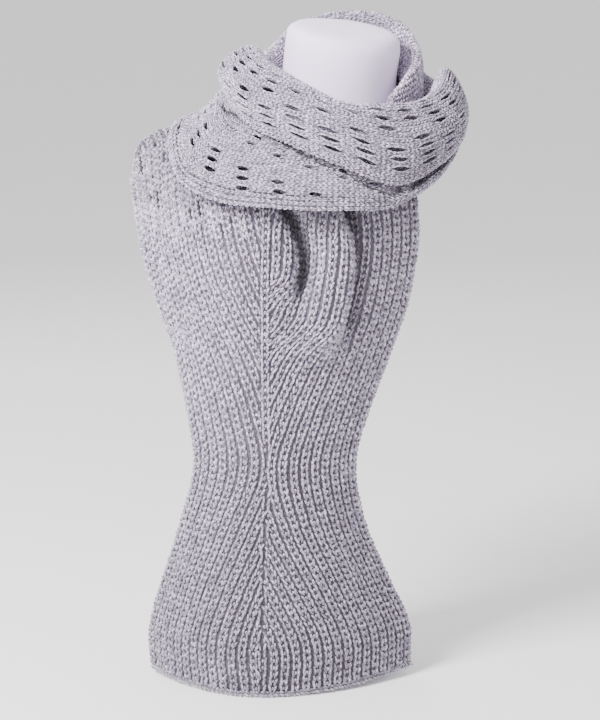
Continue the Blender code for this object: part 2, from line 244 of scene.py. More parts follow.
@dataclass(frozen=True)
class Wool(Finish):
    """Heathered wool yarn: pale and dark fibres spun together, soft and matt, with the twist of its plies.

    Attributes:
        name: The material's name.
        light: Tone of the pale fibres.
        middle: Tone of most fibres.
        dark: Tone of the dark flecks.
        flecks: Share of dark flecks.
        sheen: Weight of the halo of loose fibres.
        twist: Strength of the ply bump.
        plies: Plies round a leg, and the turns that they make along it.
        relief: Depth of the ply bump.
        painted_shadow: Painted shade by height: the tone at the floor, and what is added up to the wraps.
        rise: Heights between which that is added.
        slot: The record's material slot.
    """

    name: str
    light: float = 0.82
    middle: float = 0.46
    dark: float = 0.09
    flecks: float = 0.8
    sheen: float = 0.25
    twist: float = 0.5
    plies: tuple[float, float] = (3, 2.2)
    relief: float = 0.6 * MM
    painted_shadow: tuple[float, float] = (0.72, 0.32)
    rise: tuple[float, float] = (-0.05, 0.42)
    slot: str = "grey_knit"

    def material(self) -> bpy.types.Material:
        """The yarn's material.

        Returns:
            A material that reads object coordinates, the leg's UV map, its tone and its painted shade.
        """
        material, graph, place = self.start()
        broad = graph.noise(place, 55.0, 2.0)
        patch = graph.noise(place, 190.0, 1.0)
        heather = graph.noise(place, 430.0, 3.0, 0.65)
        fibres = graph.noise(place, 1500.0, 2.0, 0.7)
        tone, crease = graph.attribute("tone"), graph.attribute("crease")
        pale = (heather + 0.25 * (fibres - 0.5) + 0.12 * (broad - 0.5)).ramp(0.36, 0.66)
        colour = graph.mix(pale, grey(self.middle, 0.19), grey(self.light, 0.12))
        colour = graph.mix(patch.ramp(0.46, 0.68) * 0.45, colour, grey(self.dark * 2.4, 0.22))
        fleck = (fibres * 0.6 + (1 - heather) * 0.5).ramp(0.50, 0.63) * self.flecks
        colour = graph.mix(fleck, colour, grey(self.dark, 0.22))
        # Painted shade: the yarn darkens towards the floor, and on legs whose crease attribute is set, as in
        # creases, slits and under the wraps; below 0 that attribute paints them paler, as painted light.
        height = graph.split(place)[2].ramp(*self.rise)
        unevenness = 1 + 0.34 * (tone - 0.5) + 0.3 * (broad - 0.5)
        shade = unevenness * (1 - 0.8 * crease) * (self.painted_shadow[0] + self.painted_shadow[1] * height)
        colour = graph.vector("MULTIPLY", colour, self.same(graph, shade))
        around, along, _ = graph.split(graph.out(graph.node("ShaderNodeUVMap")))
        ply = (around * self.plies[0] + along * self.plies[1]) * (2 * math.pi)
        relief = (ply.sine() * 0.5 + 0.5) * 0.6 + fibres * 0.5
        self.close(graph, {
            "Base Color": colour,
            "Roughness": 0.92,
            "Specular IOR Level": 0.25,
            "Sheen Weight": self.sheen,
            "Sheen Roughness": 0.55,
            "Normal": graph.bump(relief, self.twist, self.relief),
        })
        return material

    @staticmethod
    def same(graph: Graph, value: Socket) -> Socket:
        """A vector of one value three times."""
        return graph.out(graph.node("ShaderNodeCombineXYZ", {}, {0: value, 1: value, 2: value}))


@dataclass(frozen=True)
class Jersey(Finish):
    """Fine white knitted cover of the bust.

    Attributes:
        name: The material's name.
        level: Its tone.
        pitch: Size of its stitches, on the scale of the sine waves that draw them.
        radius: Radius of the neck that its ribs run round.
        slot: The record's material slot.
    """

    name: str = "white_jersey_cover"
    level: float = 0.95
    pitch: float = 1.1 * MM
    radius: float = 58.0 * MM
    slot: str = "white_jersey"

    def material(self) -> bpy.types.Material:
        """The cover's material, with its fine ribs and faint mottling.

        Returns:
            The material.
        """
        material, graph, place = self.start()
        x, y, z = graph.split(place)
        rib = (graph.math("ARCTAN2", y, x - NECK_X) * (self.radius / self.pitch)).sine()
        course = (z * (2 * math.pi / self.pitch)).sine()
        knit = rib * course * 0.5 + 0.5
        cloud = graph.noise(place, 24.0, 3.0)
        colour = graph.mix(cloud, grey(self.level * 0.965, 0.19), grey(self.level, 0.15))
        colour = graph.mix(knit * 0.16, colour, grey(self.level * 0.8, 0.03))
        self.close(graph, {
            "Base Color": colour,
            "Roughness": 0.72,
            "Specular IOR Level": 0.3,
            "Sheen Weight": 0.12,
            "Normal": graph.bump(knit, 0.35, 0.3 * MM),
        })
        return material


@dataclass(frozen=True)
class Paper(Finish):
    """The plain white paper that the bust stands on.

    Attributes:
        name: The material's name.
        slot: Nothing, since the paper isn't part of the object.
    """

    name: str = "studio_paper"
    slot: str = ""

    def material(self) -> bpy.types.Material:
        """A matt white with the faintest tooth.

        Returns:
            The material.
        """
        material, graph, place = self.start()
        colour = graph.mix(graph.noise(place, 9.0, 2.0), grey(0.93), grey(0.96))
        self.close(graph, {"Base Color": colour, "Roughness": 0.9, "Specular IOR Level": 0.1})
        return material


# ---------------------------------------------------------------------------------------------
# Curves, surfaces and tables


class Hold(Enum):
    """How a stretch of cloth is held."""

    HUNG = "hung"
    DRAPED = "draped"
    GATHERED = "gathered"


class Side(Enum):
    """The two halves of the tail, by the sign of their place across."""

    LEFT = -1
    RIGHT = 1


def smooth(stations: Iterable[float], values: Iterable, at: Array) -> Array:
    """Columns of a table at any station, on a cubic curve through its rows.

    Args:
        stations: The rows' places, rising.
        values: One row of numbers for each station.
        at: The places wanted.

    Returns:
        One row for each place.
    """
    s, v, at = np.asarray(stations, float), np.asarray(values, float), np.atleast_1d(at)
    slope = np.gradient(v, s, axis=0)
    k = np.clip(np.searchsorted(s, at, side="right") - 1, 0, len(s) - 2)
    h = (s[k + 1] - s[k])[:, None]
    x = ((at - s[k]) / (s[k + 1] - s[k]))[:, None]
    rise = x * x * (3 - 2 * x)
    bend = slope[k] * x * (1 - x) ** 2 - slope[k + 1] * x * x * (1 - x)
    return v[k] * (1 - rise) + v[k + 1] * rise + h * bend


def step(low: float, high: float, value: Union[float, Array]) -> Union[float, Array]:
    """0 below low, 1 above high, and a smooth rise between."""
    x = np.clip((value - low) / (high - low), 0, 1)
    return x * x * (3 - 2 * x)


def between(rise: tuple[float, float], fall: tuple[float, float],
            value: Union[float, Array]) -> Union[float, Array]:
    """0 before a rise and after a fall, 1 between them, and smooth in both."""
    return step(*rise, value) * (1 - step(*fall, value))


def unit(vectors: Array) -> Array:
    """Vectors of length one."""
    return vectors / np.maximum(np.linalg.norm(vectors, axis=-1, keepdims=True), 1e-9)


def way_along(points: Array) -> Array:
    """Unit directions of a line at each of its points."""
    return unit(np.gradient(points, axis=0))


def reach_along(points: Array) -> Array:
    """Distance along a line to each of its points."""
    return np.concatenate([[0], np.cumsum(np.linalg.norm(np.diff(points, axis=0), axis=1))])


@dataclass
class Face:
    """A curved sheet as a fine grid of points and outward directions, read at fractions of its grid.

    Attributes:
        points: Rows by columns of points.
        outward: Unit directions of the same shape.
    """

    points: Array
    outward: Array

    def at(self, row: Array, column: Array, lift: Union[float, Array] = 0.0) -> tuple[Array, Array]:
        """Points and outward directions at places of the grid.

        Args:
            row: Fractional rows.
            column: Fractional columns.
            lift: Height above the face.

        Returns:
            Points and unit directions.
        """
        row, column = np.broadcast_arrays(np.asarray(row, float), np.asarray(column, float))
        rows, columns = self.points.shape[:2]
        r, c = np.clip(row, 0, rows - 1.001), np.clip(column, 0, columns - 1.001)
        i, j = r.astype(int), c.astype(int)
        x, y = (r - i)[..., None], (c - j)[..., None]
        result = []
        for grid in (self.points, self.outward):
            low = grid[i, j] * (1 - y) + grid[i, j + 1] * y
            high = grid[i + 1, j] * (1 - y) + grid[i + 1, j + 1] * y
            result.append(low * (1 - x) + high * x)
        outward = unit(result[1])
        return result[0] + outward * np.asarray(lift)[..., None], outward


class BustRow(NamedTuple):
    """One ring of the bust, in millimetres."""

    z: float
    centre_x: float
    half_width: float
    half_depth: float


class TailRow(NamedTuple):
    """The tail's left edge, spine and right edge at one row, in millimetres."""

    left_x: float
    left_y: float
    left_z: float
    spine_x: float
    spine_y: float
    spine_z: float
    right_x: float
    right_y: float
    right_z: float
    bow: float


class Fold(NamedTuple):
    """A fold of the tail's right half, by distance from the right edge at three heights, in millimetres."""

    top_z: float
    middle_z: float
    low_z: float
    top_d: float
    middle_d: float
    low_d: float
    depth: float
    half_width: float


class WrapRow(NamedTuple):
    """The wound strip's section at one turn angle: radius and height of four lines, in millimetres."""

    turn: float
    low_r: float
    low_z: float
    belly_r: float
    belly_z: float
    crest_r: float
    crest_z: float
    in_r: float
    in_z: float


WALL = 3.0 * MM
SEAM_GAP = 0.4 * MM
REST_GAP = 0.4 * MM
NECK_X, NECK_Y = 40.0 * MM, 0.0
BUST_YAW = math.radians(20)

# Seeds of the small unevenness of hand knitting.
RIB_SEED, TRIM_SEED, WRAP_SEED = 11, 29, 101

BUST_ROWS = [BustRow(*row) for row in (
    (0, 0, 77, 72), (6, 0, 81, 76), (18, 0, 81, 76), (60, 0, 71, 67), (120, 1, 57, 57), (200, 2, 49, 52),
    (260, 4, 50, 54), (320, 9, 62, 62), (380, 15, 75, 66), (430, 20, 84, 68), (470, 25, 91, 70),
    (502, 29, 92, 69), (524, 32, 80, 64), (544, 34, 66, 59.5), (566, 36, 58.5, 57), (600, 39, 56, 55.5),
    (626, 42, 56, 55.5), (634, 42.6, 55.2, 54.7),
)]

TAIL_ROWS = [TailRow(*row) for row in (
    (-149, -45, 10, -37, -125, 5, 110, -50, 13, 2),
    (-151, -41, 45, -37, -122, 50, 109, -45, 52, 2),
    (-139, -48, 92, -36, -118, 101, 88.5, -50, 100, 2),
    (-119, -58, 156, -34, -112, 162, 63.5, -60, 162, 2),
    (-104, -68, 220, -32, -106, 222, 54.5, -66, 222, 2),
    (-110.5, -62, 273, -33, -104, 275, 68, -60, 274, 2),
    (-122.5, -50, 329, -33.5, -106, 329, 88, -52, 327, 2),
    (-140.5, -38, 376, -33.5, -110, 379, 105, -50, 378, 2),
    (-154.5, -26, 422, -33, -112, 427, 114, -52, 430, 2),
    (-162, -14, 462, -32, -108, 469, 114, -54, 470, 2),
    (-165, -8, 482, -34, -101, 497, 107, -57, 495, 2),
    (-166, -5, 490, -52, -88, 509, 76, -76, 512, 1.8),
    (-166, -2.5, 495, -84, -56, 521, 12, -82, 534, 2.2),
    (-165, -0.5, 497, -118, -0.5, 544, -56, -0.5, 546, 4),
)]

FOLDS = [
    Fold(482, 436, 372, 134, 117, 117, -22, 10.5),
    Fold(500, 420, 318, 108, 84, 86, 14, 24),
    Fold(490, 410, 330, 72, 60, 57, -14, 9),
    Fold(492, 472, 442, 77, 75, 74, -9, 7),
]

WRAP_ROWS = [WrapRow(*row) for row in (
    (0, 205, 497, 199, 527, 170, 544, 96, 546), (25, 195, 473, 188, 504, 150, 525, 96, 538),
    (55, 161, 446, 160, 484, 129, 511, 92, 536), (90, 134, 440, 141, 478, 118, 508, 88, 536),
    (125, 123, 459, 130, 489, 111, 514, 85, 538), (155, 117, 494, 118, 512, 104, 529, 86, 546),
    (180, 116, 527, 111, 535, 101, 545, 89, 552), (208, 121, 518, 116, 528, 103, 541, 89, 552),
    (227, 125.5, 501, 120, 511, 103, 528, 88, 545), (247, 128, 483, 121.5, 494, 105, 514, 88, 538),
    (270, 134, 481, 127, 502, 107, 529, 88, 547), (297, 147, 483, 140, 508, 110, 540, 88, 556),
    (319, 164, 488, 151, 517, 110, 551, 87, 565), (334, 174, 502, 157, 530, 109, 561, 87, 573),
    (350, 171, 537, 148, 550, 112, 574, 87, 584), (360, 164, 550, 141, 557, 116, 577, 87, 590),
    (382, 160, 534, 147, 552, 115, 583, 93, 583), (415, 151, 508, 148, 543, 116, 591, 95, 580),
    (450, 142, 498, 147, 542, 116, 599, 95, 577), (485, 132, 506, 141, 546, 113, 600, 94, 578),
    (500, 128, 515, 136, 549, 112, 588, 93, 572), (515, 125, 524, 131, 553, 110, 579, 92, 566),
    (540, 121, 539, 124, 564, 100, 602, 88, 580), (565, 124, 528, 127, 556, 100, 584, 84, 562),
    (582, 126, 516, 128, 544, 96, 575, 80, 552), (606, 127, 502, 129, 535, 91, 574, 75, 549),
    (630, 124, 520, 127, 546, 86, 576, 70, 553), (655, 120, 539, 125, 563, 82, 592, 68, 570),
    (680, 117, 553, 123, 578, 80, 606, 67, 583), (700, 114, 569, 120, 590, 82, 615, 67, 593),
    (720, 110, 587, 118, 600, 85, 623, 68, 604), (735, 103, 592, 106, 602, 83, 613, 67, 598),
    (752, 90.5, 587, 95, 603, 80, 619, 66, 600), (768, 86, 580, 89, 606, 78, 634, 65, 602),
    (790, 84, 574, 88, 612, 77, 647, 65, 604), (812, 83, 572, 87, 614, 76, 652, 65, 605),
    (838, 83, 570, 88, 612, 79, 651, 65, 605), (860, 81, 566, 88, 606, 80, 643, 64, 600),
    (880, 79, 562, 86, 595, 81, 628, 64, 598), (900, 77, 546, 82, 580, 79, 613, 63, 590),
    (922, 73, 534, 77, 567, 74, 598, 63, 576), (945, 71, 526, 73, 552, 70, 579, 64, 560),
)]


# ---------------------------------------------------------------------------------------------
# Mesh helpers


def deselect() -> None:
    """Leave nothing selected."""
    if bpy.context.object and bpy.context.object.mode != "OBJECT":
        bpy.ops.object.mode_set(mode="OBJECT")
    bpy.ops.object.select_all(action="DESELECT")


def select(*pieces: bpy.types.Object) -> None:
    """Select these pieces alone, the first of them active."""
    deselect()
    for piece in pieces:
        piece.select_set(True)
    bpy.context.view_layer.objects.active = pieces[0]


def active(name: str) -> bpy.types.Object:
    """Name the object that an operator just added.

    Args:
        name: The piece's name.

    Returns:
        The active object.
    """
    piece = bpy.context.object
    piece.name = piece.data.name = name
    return piece


def apply_modifier(piece: bpy.types.Object, kind: str, **settings: object) -> None:
    """Add a modifier with its settings and apply it.

    Args:
        piece: The piece it changes.
        kind: The modifier's type.
        settings: Its properties.
    """
    modifier = piece.modifiers.new(kind.lower(), kind)
    for name, value in settings.items():
        setattr(modifier, name, value)
    select(piece)
    bpy.ops.object.modifier_apply(modifier=modifier.name)


def dress(piece: bpy.types.Object, material: bpy.types.Material | None) -> bpy.types.Object:
    """Shade a piece smooth, give it its finish and fix it to the part.

    Args:
        piece: The finished piece.
        material: Its material, or None where it has its own already.

    Returns:
        The same piece.
    """
    if material:
        piece.data.materials.append(material)
    select(piece)
    bpy.ops.object.shade_smooth()
    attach(piece, "root")
    return piece


def thicken(piece: bpy.types.Object, thickness: float, front: bpy.types.Material,
            back: bpy.types.Material) -> bpy.types.Object:
    """Give a sheet its thickness inwards, and a finish to each side.

    Args:
        piece: The sheet.
        thickness: Its thickness.
        front: Material of its outer side and edges.
        back: Material of its inner side.

    Returns:
        The closed shell.
    """
    piece.data.materials.append(front)
    piece.data.materials.append(back)
    apply_modifier(piece, "SOLIDIFY", thickness=thickness, offset=-1.0, material_offset=1)
    return piece


def cloth_grid(name: str, points: Array, open_cells: set[tuple[int, int]]) -> bpy.types.Object:
    """A sheet through a grid of points, with its open cells cut away.

    Args:
        name: The piece's name.
        points: Rows by columns of points, running so that the sheet's front faces outwards.
        open_cells: Cells to leave out, as row and column.

    Returns:
        The sheet, one face thick.
    """
    rows, columns = points.shape[:2]
    deselect()
    bpy.ops.mesh.primitive_grid_add(x_subdivisions=columns - 1, y_subdivisions=rows - 1, size=1.0)
    piece = active(name)
    mesh = piece.data
    place = np.empty(len(mesh.vertices) * 3)
    mesh.vertices.foreach_get("co", place)
    place = place.reshape(-1, 3)
    column = np.rint((place[:, 0] + 0.5) * (columns - 1)).astype(int)
    row = np.rint((place[:, 1] + 0.5) * (rows - 1)).astype(int)
    mesh.vertices.foreach_set("co", points[row, column].ravel())
    if open_cells:
        corner = np.empty(len(mesh.loops), int)
        mesh.loops.foreach_get("vertex_index", corner)
        corner = corner.reshape(-1, 4)
        low_row, low_column = row[corner].min(axis=1), column[corner].min(axis=1)
        cut = [cell in open_cells for cell in zip(low_row.tolist(), low_column.tolist())]
        bpy.ops.object.mode_set(mode="EDIT")
        bpy.ops.mesh.select_mode(type="FACE")
        bpy.ops.mesh.select_all(action="DESELECT")
        bpy.ops.object.mode_set(mode="OBJECT")
        mesh.polygons.foreach_set("select", cut)
        bpy.ops.object.mode_set(mode="EDIT")
        bpy.ops.mesh.delete(type="FACE")
        bpy.ops.object.mode_set(mode="OBJECT")
    return piece


class Leg:
    """One leg of a knitted stitch, modelled once: a soft spindle along Y that dives at its ends."""

    def __init__(self, around: int, along: int, dive: float = 0.45) -> None:
        """Model the leg.

        Args:
            around: Its sides.
            along: Its bands from end to end.
            dive: How far its ends sink, in its own heights.
        """
        deselect()
        bpy.ops.mesh.primitive_uv_sphere_add(segments=around, ring_count=along, radius=0.5, calc_uvs=True)
        piece = active("stitch_leg")
        bpy.ops.object.mode_set(mode="EDIT")
        bpy.ops.mesh.select_all(action="SELECT")
        bpy.ops.transform.rotate(value=math.pi / 2, orient_axis="X", center_override=(0, 0, 0))
        bpy.ops.object.mode_set(mode="OBJECT")
        mesh = piece.data
        self.points = np.array([v.co[:] for v in mesh.vertices])
        self.corners = np.array([loop.vertex_index for loop in mesh.loops])
        self.sizes = np.array([p.loop_total for p in mesh.polygons])
        self.uv = np.array([d.uv[:] for d in mesh.uv_layers.active.data])
        self.triangles = int((self.sizes - 2).sum())
        self.points[:, 2] -= dive * (2 * self.points[:, 1]) ** 2
        bpy.data.objects.remove(piece)


class Stitches:
    """Stitch legs collected from many rows and laid as one joined mesh.

    Attributes:
        tones: Spread of the legs' tones.
        sizes: Spread of their sizes, as a share.
        leans: Spread of their angles.
        shifts: Spread of their places.
    """

    tones = 0.22
    sizes = 0.08
    leans = math.radians(4)
    shifts = 0.2 * MM

    def __init__(self, seed: int) -> None:
        """Start with no legs.

        Args:
            seed: Seed of the small unevenness of hand knitting.
        """
        self.random = np.random.default_rng(seed)
        self.batches: list[tuple[Array, ...]] = []

    def add(self, centre: Array, along: Array, outward: Array, size: Array, crease: Array) -> None:
        """Add legs.

        Args:
            centre: Their middles.
            along: Unit directions they run in.
            outward: Unit directions out of the cloth.
            size: Width, length and height of each.
            crease: Painted shade on each: 0 for none, 1.2 for nearly black, below 0 for painted light that
                makes it paler.
        """
        count = len(centre)
        if not count:
            return
        tone = np.clip(0.5 + self.tones * self.random.standard_normal(count), 0, 1)
        size = size * (1 + self.sizes * self.random.standard_normal((count, 1)))
        self.batches.append((centre, along, outward, size, tone, crease))

    def chain(self, centre: Array, along: Array, outward: Array, length: Union[float, Array], shape: "Chain",
              keep: Callable[[Array], Array] | None = None, crease: Union[float, Array] = 0.0,
              only: Union[Array, slice] = slice(None)) -> None:
        """Add a run of V stitches.

        Args:
            centre: Middle of each V.
            along: Unit direction of the run.
            outward: Unit directions out of the cloth.
            length: Spacing of the Vs along the run.
            shape: The V's proportions.
            keep: Says which legs stay, by their middles.
            crease: Painted shade on each V.
            only: Which of the Vs are made.
        """
        length = np.broadcast_to(length, len(centre))[only]
        crease = np.broadcast_to(crease, len(centre))[only]
        centre, along, outward = centre[only], along[only], outward[only]
        count = len(centre)
        if not count:
            return
        across = unit(np.cross(along, outward))
        for side in (-1, 1) if shape.spread else (0,):
            lean = shape.lean + self.leans * self.random.standard_normal((count, 1))
            way = along * np.cos(lean) + across * side * np.sin(lean)
            jitter = self.shifts * self.random.standard_normal((count, 3))
            middle = centre + across * side * shape.spread + outward * shape.lift + jitter
            size = np.full((count, 3), (shape.width, 0.0, shape.height))
            size[:, 1] = length * shape.reach
            stay = keep(middle) if keep else np.full(count, True)
            self.add(middle[stay], way[stay], outward[stay], size[stay], crease[stay])

    def lay(self, name: str, leg: Leg) -> bpy.types.Object:
        """All legs as one mesh.

        Args:
            name: The piece's name.
            leg: The leg that each is a copy of.

        Returns:
            The joined piece.
        """
        centre, along, outward, size, tone, crease = (np.concatenate(part) for part in zip(*self.batches))
        outward = unit(outward - along * (outward * along).sum(axis=1, keepdims=True))
        across = np.cross(along, outward)
        local = leg.points[None] * size[:, None]
        points = (centre[:, None] + local[..., :1] * across[:, None]
                  + local[..., 1:2] * along[:, None] + local[..., 2:] * outward[:, None])
        copies, per = points.shape[:2]
        corners = (leg.corners[None] + per * np.arange(copies)[:, None]).ravel()
        sizes = np.tile(leg.sizes, copies)
        mesh = bpy.data.meshes.new(name)
        mesh.vertices.add(copies * per)
        mesh.vertices.foreach_set("co", points.ravel())
        mesh.loops.add(len(corners))
        mesh.loops.foreach_set("vertex_index", corners)
        mesh.polygons.add(len(sizes))
        mesh.polygons.foreach_set("loop_start", np.concatenate([[0], np.cumsum(sizes)[:-1]]))
        layer = mesh.uv_layers.new(name="UVMap")
        layer.data.foreach_set("uv", np.tile(leg.uv, (copies, 1)).ravel())
        # Each leg carries its random tone and its painted shade.
        for word, values in (("tone", tone), ("crease", crease)):
            mesh.attributes.new(word, "FLOAT", "POINT").data.foreach_set("value", np.repeat(values, per))
        mesh.update(calc_edges=True)
        mesh.validate()
        piece = bpy.data.objects.new(name, mesh)
        bpy.context.scene.collection.objects.link(piece)
        LOG.info("%s: %d legs, %d triangles", name, copies, copies * leg.triangles)
        return piece


@dataclass(frozen=True)
class Chain:
    """Proportions of one V stitch, in metres and radians.

    Attributes:
        spread: Each leg's distance from the V's middle line.
        lean: Each leg's angle to the run.
        width: A leg's width.
        height: A leg's height.
        reach: A leg's length as a share of the spacing.
        lift: Height of the legs' middles above the cloth.
    """

    spread: float
    lean: float
    width: float
    height: float
    reach: float = 1.35
    lift: float = 0.0003


# ---------------------------------------------------------------------------------------------
# Sub-assemblies


@dataclass
class Bust:
    """The slim display bust that the scarf is wound on.

    Attributes:
        sides: Points in each ring.
        cap_z: Height of the neck's rim before its slant.
        tilt_x: Fall of the cap towards +X.
        tilt_y: Rise of the cap towards the back.
        tilt_from: Height where the slant starts.
        rims: Rise and inset of the rings of the cap's rounded rim, in millimetres.
        ring_pitch: Spacing of the rings between foot and rim, in millimetres.
    """

    ring_pitch: float = 16.0
    sides: int = 48
    cap_z: float = 634.0 * MM
    tilt_x: float = math.radians(6.5)
    tilt_y: float = math.radians(7.5)
    tilt_from: float = 585.0 * MM
    rims: tuple[tuple[float, float], ...] = ((3.5, 2.6), (6.0, 6.6), (7.2, 12.5), (8.2, 30.0))

    def lift(self, x: Array, y: Array, z: Array) -> Array:
        """Height that the slant of the cap adds at a point."""
        share = step(self.tilt_from, self.cap_z, z)
        return share * (y * math.tan(self.tilt_y) - (x - NECK_X) * math.tan(self.tilt_x))

    @staticmethod
    def section(z: float) -> Array:
        """Centre and half sizes of the ring at a height."""
        sizes = np.array([row[1:] for row in BUST_ROWS]) * MM
        return smooth([row.z * MM for row in BUST_ROWS], sizes, z)[0]

    @classmethod
    def radius(cls, theta: float, z: float) -> float:
        """Distance from the neck's axis to the bust's side.

        Args:
            theta: Angle about the axis, from the front.
            z: Height.

        Returns:
            The distance in metres.
        """
        centre, width, depth = cls.section(z)
        origin = np.array([NECK_X - centre, NECK_Y])
        ray = np.array([math.sin(theta), -math.cos(theta)])
        cosine, sine = math.cos(BUST_YAW), math.sin(BUST_YAW)
        turn = np.array([[cosine, sine], [-sine, cosine]])
        start, way = turn @ origin / (width, depth), turn @ ray / (width, depth)
        a, b, c = way @ way, start @ way, start @ start - 1
        return (-b + math.sqrt(b * b - a * c)) / a

    def build(self) -> bpy.types.Object:
        """Bridge a stack of rings, close both ends and slant the cap.

        Returns:
            The bust's piece.
        """
        foot, rim = [0.0, 2.0, 6.0, 12.0, 18.0, 30.0], [626.0, 634.0]
        heights = np.unique(np.concatenate([foot, np.arange(45.0, rim[-1], self.ring_pitch), rim])) * MM
        rings = [(z, *self.section(z)) for z in heights]
        top = BUST_ROWS[-1]
        for rise, inset in self.rims:
            half = (top.half_width - inset) * MM, (top.half_depth - inset) * MM
            rings.append((self.cap_z + rise * MM, top.centre_x * MM, *half))
        deselect()
        parts = []
        for z, centre, width, depth in rings:
            bpy.ops.mesh.primitive_circle_add(
                vertices=self.sides, radius=1.0, location=(centre, 0, z), rotation=(0, 0, BUST_YAW))
            bpy.context.object.scale = (width, depth, 1.0)
            parts.append(bpy.context.object)
        select(*parts)
        bpy.ops.object.transform_apply(location=True, rotation=True, scale=True)
        bpy.ops.object.join()
        piece = active("bust_form")
        bpy.ops.object.mode_set(mode="EDIT")
        bpy.ops.mesh.select_all(action="SELECT")
        bpy.ops.mesh.bridge_edge_loops()
        bpy.ops.mesh.select_all(action="DESELECT")
        bpy.ops.mesh.select_mode(type="EDGE")
        bpy.ops.mesh.select_non_manifold()
        bpy.ops.mesh.edge_face_add()
        bpy.ops.mesh.select_all(action="SELECT")
        bpy.ops.mesh.normals_make_consistent(inside=False)
        bpy.ops.object.mode_set(mode="OBJECT")
        for vertex in piece.data.vertices:
            vertex.co.z += self.lift(vertex.co.x, vertex.co.y, vertex.co.z)
        return piece

    def dress(self, piece: bpy.types.Object) -> bpy.types.Object:
        """Cover the bust in its jersey."""
        jersey = Jersey()
        dress(piece, jersey.material())
        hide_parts("display_bust")
        return piece


